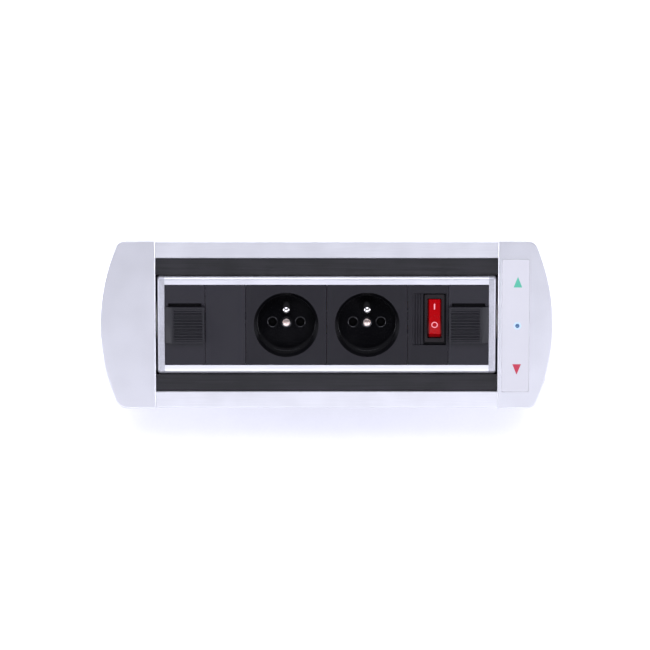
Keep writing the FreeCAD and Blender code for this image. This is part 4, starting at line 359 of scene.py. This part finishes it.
# Each node's finish, its material slot in the record, and the rounding of its edges; a node with no
# rounding keeps its own mesh.
NODE_FINISHES: dict[str, tuple[Finish, str, float]] = {
    "front_rail": (RAIL_ALUMINIUM, "anodised_rail", 0.15),
    "rear_rail": (RAIL_ALUMINIUM, "anodised_rail", 0.15),
    "lip_strips": (BLACK_PVC, "strip_plastic", 0.2),
    "left_end_cap": (SILVER_ABS, "cap_plastic", 0.15),
    "right_end_cap": (SILVER_ABS, "cap_plastic", 0.15),
    "touch_panel": (PANEL_FILM, "panel_plastic", 0.25),
    "touch_board": (BOARD_MASK, "board", 0.0),
    "status_led": (LED_LENS, "led_lens", 0.0),
    "housing_trough": (POWDER_COAT, "housing_steel", 0.2),
    "left_end_wall": (POWDER_COAT, "housing_steel", 0.2),
    "right_end_wall": (POWDER_COAT, "housing_steel", 0.2),
    "left_bearing_bracket": (ZINC_SHEET, "bracket_steel", 0.2),
    "right_bearing_bracket": (ZINC_SHEET, "bracket_steel", 0.2),
    "frame_screws": (ZINC_SCREW, "screw_steel", 0.15),
    "left_clamp_claw": (ZINC_SHEET, "bracket_steel", 0.25),
    "right_clamp_claw": (ZINC_SHEET, "bracket_steel", 0.25),
    "clamp_screws": (ZINC_SCREW, "screw_steel", 0.25),
    "gland_body": (GLAND_POLYAMIDE, "gland_plastic", 0.25),
    "gland_seal": (SEAL_RUBBER, "seal_rubber", 0.3),
    "gland_nut": (GLAND_POLYAMIDE, "gland_plastic", 0.4),
    "gland_locknut": (GLAND_POLYAMIDE, "gland_plastic", 0.3),
    "terminal_block": (ACETAL, "bush_plastic", 0.25),
    "terminal_lead": (LEAD_PVC, "lead_sheath", 0.0),
    "control_board": (BOARD_MASK, "board", 0.0),
    "board_spacers": (ACETAL, "bush_plastic", 0.0),
    "board_components": (COMPONENT_EPOXY, "component", 0.3),
    "axle_bushes": (ACETAL, "bush_plastic", 0.2),
    "drive_motor": (MOTOR_CAN, "motor_metal", 0.15),
    "motor_gearbox": (MOTOR_CAN, "motor_metal", 0.2),
    "idler_post": (TURNED_STEEL, "axle_steel", 0.15),
    "idler_gear": (ACETAL, "gear_plastic", 0.08),
    "drive_pinion": (BRASS, "brass", 0.08),
    "drum_gear": (ACETAL, "gear_plastic", 0.08),
    "drum_profile": (DRUM_ALUMINIUM, "drum_aluminium", 0.15),
    "left_end_plate": (PLATE_CASTING, "end_plate_metal", 0.15),
    "right_end_plate": (PLATE_CASTING, "end_plate_metal", 0.15),
    "left_axle": (TURNED_STEEL, "axle_steel", 0.2),
    "right_axle": (TURNED_STEEL, "axle_steel", 0.2),
    "axle_ring": (TURNED_STEEL, "axle_steel", 0.0),
    "drum_screws": (ZINC_SCREW, "screw_steel", 0.15),
    "blank_module": (BLACK_ABS, "module_plastic", 0.2),
    "left_socket": (OUTLET_ABS, "socket_plastic", 0.2),
    "right_socket": (OUTLET_ABS, "socket_plastic", 0.2),
    "left_shutter": (SHUTTER_ACETAL_PAINTED_SHADE, "switch_plastic", 0.0),
    "right_shutter": (SHUTTER_ACETAL_PAINTED_SHADE, "switch_plastic", 0.0),
    "socket_backs": (SWITCH_NYLON, "switch_plastic", 0.0),
    "earth_pins": (NICKEL_PLATE, "earth_pin_metal", 0.0),
    "centre_screws": (CHROMATED_STEEL, "screw_steel", 0.0),
    "line_busbar": (BRASS, "brass", 0.0),
    "neutral_busbar": (BRASS, "brass", 0.0),
    "earth_busbar": (BRASS, "brass", 0.0),
    "switch_module": (OUTLET_ABS, "module_plastic", 0.2),
    "switch_body": (SWITCH_NYLON, "switch_plastic", 0.15),
    "switch_terminals": (BRASS, "brass", 0.0),
    "rocker": (RED_POLYCARBONATE, "rocker_plastic", 0.9),
    "drum_lead": (LEAD_PVC, "lead_sheath", 0.0),
    "left_grip_module": (BLACK_ABS, "module_plastic", 0.2),
    "right_grip_module": (BLACK_ABS, "module_plastic", 0.2),
    "left_catch": (GRIP_ABS, "grip_plastic", 0.2),
    "right_catch": (GRIP_ABS, "grip_plastic", 0.2),
}

# Nodes whose eased copies have more than one finish, and are made by their own classes.
ZONED_NODES = ("left_socket", "right_socket", "switch_module")


def hang(mesh: bpy.types.Mesh, name: str, finishes: Sequence[Finish], body: str,
         replaced: Sequence[str] = ()) -> bpy.types.Object:
    """Put a finished mesh into the scene as a piece of a body.

    Args:
        mesh: the piece's mesh, in metres and in its place.
        name: name of the piece.
        finishes: its finishes, in the order of its material numbers.
        body: body that it rides on.
        replaced: nodes that it stands for.

    Returns:
        The piece.
    """
    for finish in finishes:
        mesh.materials.append(finish.build())
    piece = bpy.data.objects.new(name, mesh)
    bpy.context.scene.collection.objects.link(piece)
    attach(piece, body)
    if replaced:
        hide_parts(*replaced)
    LOG.info("%s: %d faces, %s", name, len(mesh.polygons), ", ".join(f.name for f in finishes))
    return piece


@dataclass
class Shell:
    """A surface in millimetres: points as rows, and faces as lists of their numbers."""

    points: np.ndarray
    faces: list[list[int]]

    @staticmethod
    def grid(points: np.ndarray, wrap_rows: bool = False, wrap_columns: bool = False,
             lids: bool = False) -> "Shell":
        """Join a grid of points into four-sided faces.

        The point in row i and column j is the surface at the i-th and j-th value of its two
        parameters, and each face takes the points (i, j), (i, j+1), (i+1, j+1) and (i+1, j).

        Args:
            points: array of rows by columns by 3.
            wrap_rows: whether the last row meets the first.
            wrap_columns: whether the last column meets the first.
            lids: whether the first and the last row are closed by a flat face.

        Returns:
            The surface.
        """
        numbers = np.arange(points.shape[0] * points.shape[1]).reshape(points.shape[:2])
        turn = np.pad(numbers, ((0, int(wrap_rows)), (0, int(wrap_columns))), mode="wrap")
        quads = np.stack([turn[:-1, :-1], turn[:-1, 1:], turn[1:, 1:], turn[1:, :-1]], axis=-1)
        faces = quads.reshape(-1, 4).tolist()
        if lids:
            faces += [numbers[0, ::-1].tolist(), numbers[-1].tolist()]
        return Shell(points.reshape(-1, 3), faces)

    def plus(self, other: "Shell") -> "Shell":
        """This surface and another as one."""
        shifted = [[number + len(self.points) for number in face] for face in other.faces]
        return Shell(np.vstack([self.points, other.points]), self.faces + shifted)

    def moved(self, change: Callable[[np.ndarray], np.ndarray]) -> "Shell":
        """This surface with its points passed through a change of place."""
        return Shell(change(self.points), self.faces)

    def piece(self, name: str, finish: Finish, body: Body, slot: str,
              *replaced: str) -> bpy.types.Object:
        """Make the surface a piece, with its seams and poles closed and its faces outwards.

        Args:
            name: name of the piece.
            finish: its finish.
            body: body that it rides on.
            slot: material slot of the record; not used.
            replaced: nodes that it stands for.

        Returns:
            The piece.
        """
        mesh = bpy.data.meshes.new(name)
        mesh.from_pydata((self.points * MM).tolist(), [], self.faces)
        work = bmesh.new()
        work.from_mesh(mesh)
        bmesh.ops.remove_doubles(work, verts=work.verts, dist=WELD)
        bmesh.ops.recalc_face_normals(work, faces=work.faces)
        work.to_mesh(mesh)
        work.free()
        mesh.shade_smooth()
        mesh.set_sharp_from_angle(angle=CREASE)
        return hang(mesh, name, [finish], body.value, replaced)


def rounded_polygon(corners: Sequence[Sequence[float]], radius: float,
                    steps: int = 5) -> np.ndarray:
    """Outline of a polygon with rounded corners.

    At each corner an arc touches both sides: its centre lies on the bisector, radius / sin(half the
    corner's angle) away, and the arc turns from one foot to the other at an even rate.

    Args:
        corners: corners in order, as x and y.
        radius: radius of the arcs.
        steps: points of each arc.

    Returns:
        Points of the outline, one row each.
    """
    corner = np.asarray(corners, float)
    before = np.roll(corner, 1, axis=0) - corner
    after = np.roll(corner, -1, axis=0) - corner
    before /= np.linalg.norm(before, axis=1, keepdims=True)
    after /= np.linalg.norm(after, axis=1, keepdims=True)
    half = np.arccos((before * after).sum(1, keepdims=True)) / 2
    bisector = before + after
    bisector /= np.linalg.norm(bisector, axis=1, keepdims=True)
    centre = corner + bisector * radius / np.sin(half)
    first = corner + before * radius / np.tan(half) - centre
    last = corner + after * radius / np.tan(half) - centre
    turn = (np.pi - 2 * half)[:, None]
    share = np.linspace(0, 1, steps)[None, :, None]
    leaving = np.sin((1 - share) * turn) * first[:, None]
    arriving = np.sin(share * turn) * last[:, None]
    arc = (leaving + arriving) / np.sin(turn)
    return (centre[:, None] + arc).reshape(-1, 2)


def plate(outline: np.ndarray, levels: Sequence[float]) -> Shell:
    """Flat plate: the outline repeated at each level, closed below and above.

    Args:
        outline: points of the outline.
        levels: heights, rising.

    Returns:
        The closed plate.
    """
    rings = np.empty((len(levels), len(outline), 3))
    rings[..., :2] = outline
    rings[..., 2] = np.asarray(levels)[:, None]
    return Shell.grid(rings, wrap_columns=True, lids=True)


def turned(profile: Sequence[Sequence[float]], centre: Sequence[float], sides: int = 48,
           closed: bool = False) -> Shell:
    """Turned piece: each point (r, h) of the profile runs round as (r cos a, r sin a, h).

    Args:
        profile: radii and heights, in order along the surface.
        centre: place of the axis at height 0.
        sides: points of one turn.
        closed: whether the profile's last point meets its first, as in a ring.

    Returns:
        The turned surface.
    """
    radius, height = np.asarray(profile, float).T[:, :, None]
    angle = np.linspace(0, 2 * np.pi, sides, endpoint=False)[None, :]
    places = np.broadcast_arrays(radius * np.cos(angle), radius * np.sin(angle), height)
    points = np.stack(places, axis=-1) + np.asarray(centre)
    return Shell.grid(points, wrap_rows=closed, wrap_columns=True)


def flat_ring(radii: Sequence[float], half_height: float, centre: Sequence[float]) -> Shell:
    """Flat ring: a rectangle turned about its axis.

    Args:
        radii: inner and outer radius.
        half_height: half of the ring's thickness.
        centre: place of the ring's middle.

    Returns:
        The ring.
    """
    inner, outer = radii
    section = [(inner, -half_height), (outer, -half_height), (outer, half_height),
               (inner, half_height)]
    return turned(section, centre, closed=True)


@dataclass
class EasedNode:
    """Copy of a node with its seams closed, its flat faces whole and its edges eased.

    Moulded, extruded and stamped pieces have no knife edges: each edge is rounded over the given
    width, so that it catches a thin line of light. Long thin faces ease cleanly only when they are
    whole, the comb-shaped faces of the catches and the cups of the outlets only as triangles.
    """

    node: str
    finishes: Sequence[Finish]
    slot: str
    edge: float
    whole_faces: bool = True

    def build(self, zone: Callable[[np.ndarray], np.ndarray] | None = None) -> bpy.types.Object:
        """Make the copy and let it stand for the node.

        Args:
            zone: gives each face's finish number from the faces' centres, in millimetres.

        Returns:
            The copy.
        """
        source = frame["nodes"][self.node]
        mesh = source.data.copy()
        mesh.materials.clear()
        work = bmesh.new()
        work.from_mesh(mesh)
        bmesh.ops.remove_doubles(work, verts=work.verts, dist=WELD)
        if self.whole_faces:
            bmesh.ops.dissolve_limit(work, angle_limit=FLAT, verts=work.verts, edges=work.edges)
        work.to_mesh(mesh)
        work.free()
        mesh.shade_smooth()
        mesh.set_sharp_from_angle(angle=CREASE)
        if zone:
            centres = np.empty(len(mesh.polygons) * 3)
            mesh.polygons.foreach_get("center", centres)
            numbers = zone(centres.reshape(-1, 3) / MM).astype(np.int32)
            mesh.polygons.foreach_set("material_index", numbers)
        piece = hang(mesh, self.node + "_eased", self.finishes, source["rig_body"],
                     [self.node])
        bevel = piece.modifiers.new("eased_edges", "BEVEL")
        bevel.width = self.edge * MM
        bevel.segments = 2
        bevel.limit_method = "ANGLE"
        bevel.angle_limit = CREASE
        bevel.face_strength_mode = "FSTR_ALL"
        shading = piece.modifiers.new("flat_faces_stay_flat", "WEIGHTED_NORMAL")
        shading.keep_sharp = True
        shading.use_face_influence = True
        return piece


@dataclass
class SocketFaces:
    """The two outlets: grained faces, half-polished bevels painted darker as shade, cups of smooth
    polycarbonate.

    Each has its earth pin, with a domed tip and a riveted tail, and its centre screw, whose pan
    head takes a flat or a cross driver.
    """

    centres: tuple[float, float] = (-27.5, 27.5)
    mouth_radius: float = 22.0
    zone_play: float = 0.2
    face_height: float = 73.537
    bevel_height: float = 2.3
    cup_floor: float = 58.537
    cup_under: float = 55.537
    pin_offset: float = 10.0
    pin_radius: float = 2.4
    pin_top: float = 72.537
    pin_dome: float = 1.5
    dome_rings: int = 13
    neck_radius: float = 2.0
    tail_round: float = 0.3
    collar_radius: float = 3.4
    collar_low: float = 49.037
    tail_low: float = 47.037
    screw_seat: float = 59.737
    screw_top: float = 61.337
    screw_low: float = 42.787
    screw_radius: float = 2.5
    shank_radius: float = 1.5
    shank_round: float = 0.4
    head_round: float = 0.1
    head_rings: int = 26
    head_sides: int = 120
    rim_drop: float = 0.5
    crown_drop: float = 0.45
    slot_width: float = 0.8
    slot_flank: float = 0.12
    slot_depth: float = 0.8
    cross_reach: float = 1.35
    slot_turns: tuple[float, float] = (-25.0, 35.0)

    def build(self) -> None:
        """Make both outlets with their pins and screws."""
        for node, centre in zip(("left_socket", "right_socket"), self.centres):
            _, slot, edge = NODE_FINISHES[node]

            def zone(places: np.ndarray, centre: float = centre) -> np.ndarray:
                """Choose the finish of an outlet's faces by their centres.

                Args:
                    places: rows of x, y and z.
                    centre: x of the outlet's middle.

                Returns:
                    Number 1 in the cup, 2 on the mouth's bevel, 0 elsewhere.
                """
                reach = np.hypot(places[:, 0] - centre, places[:, 1])
                inside = reach < self.mouth_radius - self.zone_play
                cup = inside & (places[:, 2] < self.face_height - self.bevel_height)
                bevel = inside & ~cup & (places[:, 2] < self.face_height - self.zone_play / 2)
                return cup + 2 * bevel

            # The mouths' bevels get the darker finish as painted shade.
            finishes = (OUTLET_ABS, BLACK_POLYCARBONATE, POLISHED_ABS_PAINTED_SHADE)
            EasedNode(node, finishes, slot, edge, whole_faces=False).build(zone)
        pins = [self.pin(centre) for centre in self.centres]
        pins[0].plus(pins[1]).piece("domed_earth_pins", NICKEL_PLATE, Body.DRUM, "earth_pin_metal",
                                    "earth_pins")
        screws = [self.screw(centre, turn) for centre, turn in zip(self.centres, self.slot_turns)]
        screws[0].plus(screws[1]).piece("crossed_centre_screws", CHROMATED_STEEL, Body.DRUM,
                                        "screw_steel", "centre_screws")

    def pin(self, centre: float) -> Shell:
        """Earth pin: a turned profile whose tip is a quarter of an ellipse.

        At the angle t the tip's radius is the pin's times cos t, and its height rises by the
        dome's times sin t.

        Args:
            centre: x of the outlet's middle.

        Returns:
            The pin.
        """
        angle = np.linspace(0, np.pi / 2, self.dome_rings)
        tip = np.stack([self.pin_radius * np.cos(angle),
                        self.pin_top - self.pin_dome * (1 - np.sin(angle))], axis=1)
        stem = [(0.0, self.tail_low), (self.neck_radius - self.tail_round, self.tail_low),
                (self.neck_radius, self.tail_low + self.tail_round),
                (self.neck_radius, self.collar_low),
                (self.collar_radius, self.collar_low), (self.collar_radius, self.cup_under),
                (self.neck_radius, self.cup_under), (self.neck_radius, self.cup_floor),
                (self.pin_radius, self.cup_floor)]
        return turned(stem + tip.tolist(), (centre, self.pin_offset, 0))

    def screw(self, centre: float, turn: float) -> Shell:
        """Centre screw: a turned shank and rim, closed by a head with a slot and a cross.

        The head is a height over radius r and angle: a crown that falls with the square of r, less
        the slot's depth where the point is within half a slot of one line across it, or, nearer
        than the cross's reach, of a line square to that one.

        Args:
            centre: x of the outlet's middle.
            turn: degrees that the slot is turned from the x axis.

        Returns:
            The screw.
        """
        profile = np.array([
            (0.0, self.screw_low), (self.shank_radius - self.shank_round, self.screw_low),
            (self.shank_radius, self.screw_low + self.shank_round),
            (self.shank_radius, self.screw_seat),
            (self.screw_radius - self.head_round, self.screw_seat),
            (self.screw_radius, self.screw_seat + self.head_round),
            (self.screw_radius, self.screw_top - self.rim_drop),
        ])
        head_radius = self.screw_radius - self.head_round / 2
        radius = np.concatenate([profile[:, 0], np.linspace(head_radius, 0, self.head_rings)])
        angle = np.linspace(0, 2 * np.pi, self.head_sides, endpoint=False)
        line = angle - math.radians(turn)
        head = radius[len(profile):, None]
        off_slot, off_cross = np.abs(head * np.sin(line)), np.abs(head * np.cos(line))
        outer = (self.slot_width + self.slot_flank) / 2
        cut = np.clip((outer - off_slot) / self.slot_flank, 0, 1)
        cross = np.clip((outer - off_cross) / self.slot_flank, 0, 1) * (head < self.cross_reach)
        crown = self.screw_top - self.crown_drop * (head / self.screw_radius) ** 2
        top = crown - self.slot_depth * np.maximum(cut, cross)
        low = np.repeat(profile[:, 1:], len(angle), axis=1)
        x, y = radius[:, None] * np.cos(angle), radius[:, None] * np.sin(angle)
        points = np.stack([x + centre, y, np.vstack([low, top])], axis=-1)
        return Shell.grid(points, wrap_columns=True)


@dataclass
class RockerSwitch:
    """The switch in its module: a slit round the bezel painted dark as shade, and the marks on the
    red rocker.

    The printed line and ring follow the slopes of the rocker's two halves.
    """

    pivot: tuple[float, float, float] = (73.1, 4.5, 70.537)
    ridge: float = 3.3
    travel: float = 28.6
    ink: float = 0.04
    line_size: tuple[float, float] = (0.8, 3.9)
    line_place: float = 7.2
    line_round: float = 0.2
    ring_radii: tuple[float, float] = (1.6, 2.15)
    ring_place: float = -5.6
    pocket: tuple[float, float, float, float] = (58.1, 81.2, -13.9, 21.5)
    pocket_heights: tuple[float, float] = (71.437, 72.637)
    pocket_play: float = 0.5
    ribs_end: float = 65.5

    def build(self) -> None:
        """Make the module with painted shade in the slit round the switch, and print both marks on
        the rocker.
        """
        _, slot, edge = NODE_FINISHES["switch_module"]
        # The pocket's floor and walls get the dark finish as painted shade.
        EasedNode("switch_module", (OUTLET_ABS, POLISHED_ABS_PAINTED_SHADE), slot, edge).build(self.painted_shade_zone)
        half_x, half_y = self.line_size[0] / 2, self.line_size[1] / 2
        corners = [(-half_x, -half_y), (half_x, -half_y), (half_x, half_y), (-half_x, half_y)]
        outline = rounded_polygon(corners, self.line_round)
        line = plate(outline + (0, self.line_place), (-self.ink, self.ink))
        line.moved(self.on_face).piece("rocker_line_mark", WHITE_INK, Body.ROCKER, "rocker_plastic")
        ring = flat_ring(self.ring_radii, self.ink, (0, self.ring_place, 0))
        ring.moved(self.on_face).piece("rocker_ring_mark", WHITE_INK, Body.ROCKER, "rocker_plastic")

    def painted_shade_zone(self, places: np.ndarray) -> np.ndarray:
        """Choose the finish of the module's faces by their centres; the pocket's faces get painted
        shade.

        Args:
            places: rows of x, y and z.

        Returns:
            True on the floor and the walls of the pocket, past its ribs, and False elsewhere.
        """
        x, y, z = places.T
        left, right, front, rear = self.pocket
        low, high = self.pocket_heights
        inside = (x > left) & (x < right) & (y > front) & (y < rear)
        deep = (z > low) & (z < high)
        past_ribs = ((x > self.ribs_end) | (y < front + self.pocket_play)
                     | (y > rear - self.pocket_play))
        return inside & deep & past_ribs

    def on_face(self, points: np.ndarray) -> np.ndarray:
        """Lay flat points on the rocker at rest.

        A point (x, s, h) goes s along the half that it is on, which rises from the fold by half the
        travel, and h above it; then the whole rocker is tipped about its pivot by half the travel.

        Args:
            points: rows of x from the middle, s from the fold, and height.

        Returns:
            Their places on the rocker.
        """
        x, along, height = points.T
        slope = math.radians(self.travel / 2)
        side = np.sign(along)
        y = along * math.cos(slope) - side * height * math.sin(slope)
        z = self.ridge + np.abs(along) * math.sin(slope) + height * math.cos(slope)
        tipped_y = y * math.cos(slope) + z * math.sin(slope)
        tipped_z = z * math.cos(slope) - y * math.sin(slope)
        return np.stack([x, tipped_y, tipped_z], axis=1) + self.pivot


@dataclass
class TouchKeys:
    """Printed arrows of the touch keys, and the status light with its halo in the film."""

    top: float = 74.537
    ink: float = 0.02
    up_arrow: tuple[float, float, float] = (129.5, 25.7, 33.0)
    down_arrow: tuple[float, float, float] = (129.0, -26.8, -34.0)
    arrow_half: float = 2.95
    arrow_round: float = 0.12
    light: tuple[float, float] = (129.35, -0.5)
    stem_radius: float = 1.0
    stem_low: float = -2.0
    lens_radius: float = 1.45
    lens_low: float = -0.05
    lens_rise: float = 0.6
    dome_rings: int = 9
    halo_gap: float = 0.1
    halo_radius: float = 2.5

    def build(self) -> None:
        """Print the arrows and set the lens and its halo."""
        for name, arrow, finish in (("up_arrow", self.up_arrow, GREEN_INK),
                                    ("down_arrow", self.down_arrow, RED_INK)):
            x, base, tip = arrow
            corners = [(x - self.arrow_half, base), (x + self.arrow_half, base), (x, tip)]
            outline = rounded_polygon(corners, self.arrow_round)
            plate(outline, (self.top - self.ink, self.top + self.ink)).piece(
                name + "_print", finish, Body.FRAME, "panel_plastic")
        x, y = self.light
        angle = np.linspace(0, np.pi / 2, self.dome_rings)
        dome = np.stack([self.lens_radius * np.cos(angle), self.lens_rise * np.sin(angle)], axis=1)
        foot = [(0.0, self.stem_low), (self.stem_radius, self.stem_low),
                (self.stem_radius, self.lens_low), (self.lens_radius, self.lens_low)]
        turned(foot + dome.tolist(), (x, y, self.top)).piece(
            "status_led_lens", LED_LENS, Body.FRAME, "led_lens", "status_led")
        halo_radii = (self.lens_radius + self.halo_gap, self.halo_radius)
        flat_ring(halo_radii, self.ink, (x, y, self.top)).piece(
            "status_led_halo", LIT_FILM, Body.FRAME, "panel_plastic")


def dress_nodes() -> None:
    """Give every carried-over node its finish, and an eased copy where its edges show."""
    for name, (finish, slot, edge) in NODE_FINISHES.items():
        node = frame["nodes"][name]
        node.data.materials.clear()
        node.data.materials.append(finish.build())
        if edge and name not in ZONED_NODES:
            whole_faces = not name.endswith("_catch")
            EasedNode(name, (finish,), slot, edge, whole_faces).build()
        else:
            LOG.info("%s: %s", name, finish.name)


@dataclass(frozen=True)
class SoftBox:
    """Rectangular soft light, aimed at the middle of the face."""

    name: str
    place: tuple[float, float, float]
    size: tuple[float, float]
    watts: float
    colour: str = "F1F2FF"
    mirrored: bool = True

    def hang(self, target: Vector) -> None:
        """Hang the light so that it points at the target, unseen itself.

        Args:
            target: point that it is aimed at.
        """
        light = bpy.data.lights.new(self.name, "AREA")
        light.shape = "RECTANGLE"
        light.size, light.size_y = (side * MM for side in self.size)
        light.energy = self.watts
        light.color = linear(self.colour)[:3]
        holder = bpy.data.objects.new(self.name, light)
        bpy.context.scene.collection.objects.link(holder)
        holder.location = Vector(self.place) * MM
        holder.rotation_euler = (target - Vector(self.place)).to_track_quat("-Z", "Y").to_euler()
        holder.visible_camera = False
        holder.visible_glossy = self.mirrored


@dataclass(frozen=True)
class LampBank:
    """Lamps behind the tent's cloth, towards one side.

    They shine between four angles from the top: none up to the first, full from the second to the
    third, none past the fourth. To the left and right they fade out past a half width, over the
    fade's width; both are sines of angles.
    """

    side: tuple[float, float, float]
    angles: tuple[float, float, float, float]
    half_width: float
    strength: float
    fade: float = 0.2

    def over(self, tree: bpy.types.NodeTree, place: bpy.types.Node, cloth: Link) -> Link:
        """Add the bank's light to the cloth's.

        Args:
            tree: the world's tree.
            place: coordinates of the direction looked in.
            cloth: strength of the cloth so far.

        Returns:
            Strength with the bank.
        """
        lean = add_node(tree, "VectorMath", {"operation": "DOT_PRODUCT", 1: self.side},
                        {0: (place, "Generated")})
        first, second, third, fourth = (math.sin(math.radians(a)) for a in self.angles)
        near = add_node(tree, "MapRange", {
            "interpolation_type": "SMOOTHSTEP", "From Min": first, "From Max": second,
            "To Max": self.strength,
        }, {"Value": (lean, "Value")})
        far = add_node(tree, "MapRange", {
            "interpolation_type": "SMOOTHSTEP", "From Min": third, "From Max": fourth,
            "To Min": 1.0, "To Max": 0.0,
        }, {"Value": (lean, "Value")})
        split = add_node(tree, "SeparateXYZ", links={"Vector": (place, "Generated")})
        away = add_node(tree, "Math", {"operation": "ABSOLUTE"}, {0: (split, "X")})
        end = add_node(tree, "MapRange", {
            "interpolation_type": "SMOOTHSTEP", "From Min": self.half_width,
            "From Max": self.half_width + self.fade, "To Min": 1.0, "To Max": 0.0,
        }, {"Value": (away, "Value")})
        band = add_node(tree, "Math", {"operation": "MULTIPLY"},
                        {0: (near, "Result"), 1: (far, "Result")})
        glow = add_node(tree, "Math", {"operation": "MULTIPLY"},
                        {0: (band, "Value"), 1: (end, "Result")})
        both = add_node(tree, "Math", {"operation": "ADD"}, {0: cloth, 1: (glow, "Value")})
        return both, "Value"


@dataclass
class Studio:
    """White paper under the housing, soft boxes, a light tent, and the camera above the face."""

    camera_distance: float = 2200.0
    camera_tilt: float = 7.6
    lens: float = 179.6
    sensor_width: float = 36.0
    aim_x: float = -1.15
    face_height: float = 74.0
    floor_half: float = 6000.0
    floor_drop: float = 0.1
    tent_colour: str = "EFF0FF"
    tent_strength: float = 0.32
    banks: tuple[LampBank, ...] = (
        LampBank((0.15, -0.989, 0.0), (9.5, 15.5, 30.0, 38.0), 0.36, 3.4),
        LampBank((0.0, 1.0, 0.0), (26.0, 36.0, 50.0, 60.0), 0.25, 3.0),
    )
    opening_rim: float = 12.0
    opening_core: float = 4.5
    opening_strength: float = 0.03
    soft_boxes: tuple[SoftBox, ...] = (
        SoftBox("rear_box", (0.0, 800.0, 1300.0), (800.0, 800.0), 24.0, mirrored=False),
        SoftBox("top_box", (0.0, -250.0, 1500.0), (700.0, 700.0), 7.8, mirrored=False),
        SoftBox("left_box", (-900.0, 0.0, 450.0), (500.0, 600.0), 3.6),
        SoftBox("right_box", (900.0, 0.0, 450.0), (500.0, 600.0), 3.6),
    )

    def build(self) -> None:
        """Put floor, lights and camera in place."""
        bpy.context.scene.view_settings.view_transform = "Standard"
        self.floor()
        for box in self.soft_boxes:
            box.hang(Vector((0, 0, self.face_height)))
        self.tent()
        self.camera()

    def floor(self) -> None:
        """Flat white paper, a hair under the housing so that no two faces share a plane."""
        half = self.floor_half
        outline = [(-half, -half), (half, -half), (half, half), (-half, half)]
        mesh = bpy.data.meshes.new("studio_floor")
        mesh.from_pydata([(x * MM, y * MM, -self.floor_drop * MM) for x, y in outline], [],
                         [(0, 1, 2, 3)])
        mesh.materials.append(STUDIO_PAPER.build())
        floor = bpy.data.objects.new("studio_floor", mesh)
        bpy.context.scene.collection.objects.link(floor)

    def tent(self) -> None:
        """Light tent round the object, with banks of lamps behind its cloth and a dark opening.

        Round the direction that a level face mirrors to the lens the cloth falls off to the
        opening's strength, between two angles.
        """
        world = bpy.data.worlds.new("light_tent")
        world.use_nodes = True
        tree = world.node_tree
        place = add_node(tree, "TexCoord")
        plain = add_node(tree, "Math", {"operation": "ADD", 0: self.tent_strength, 1: 0.0})
        cloth: Link = (plain, "Value")
        for bank in self.banks:
            cloth = bank.over(tree, place, cloth)
        tilt = math.radians(self.camera_tilt)
        nearness = add_node(tree, "VectorMath", {
            "operation": "DOT_PRODUCT", 1: (0.0, -math.sin(tilt), math.cos(tilt)),
        }, {0: (place, "Generated")})
        opening = add_node(tree, "MapRange", {
            "interpolation_type": "SMOOTHSTEP",
            "From Min": math.cos(math.radians(self.opening_rim)),
            "From Max": math.cos(math.radians(self.opening_core)),
            "To Min": 1.0, "To Max": self.opening_strength,
        }, {"Value": (nearness, "Value")})
        strength = add_node(tree, "Math", {"operation": "MULTIPLY"},
                            {0: cloth, 1: (opening, "Result")})
        background = tree.nodes["Background"]
        background.inputs["Color"].default_value = linear(self.tent_colour)
        tree.links.new(strength.outputs["Value"], background.inputs["Strength"])
        bpy.context.scene.world = world

    def camera(self) -> None:
        """Long lens above the face, leaning towards the rear rail."""
        camera = bpy.data.cameras.new("camera")
        camera.lens = self.lens
        camera.sensor_width = self.sensor_width
        holder = bpy.data.objects.new("camera", camera)
        bpy.context.scene.collection.objects.link(holder)
        tilt = math.radians(self.camera_tilt)
        place = Vector((self.aim_x, self.camera_distance * math.sin(tilt),
                        self.face_height + self.camera_distance * math.cos(tilt)))
        holder.location = place * MM
        holder.rotation_euler = (-tilt, 0, 0)
        bpy.context.scene.camera = holder


def main() -> None:
    """Dress the frame, add the finer pieces and set the studio."""
    logging.basicConfig(level=logging.INFO, format="%(name)s %(message)s")
    Studio().build()
    dress_nodes()
    SocketFaces().build()
    RockerSwitch().build()
    TouchKeys().build()


if __name__ == "__main__":
    main()
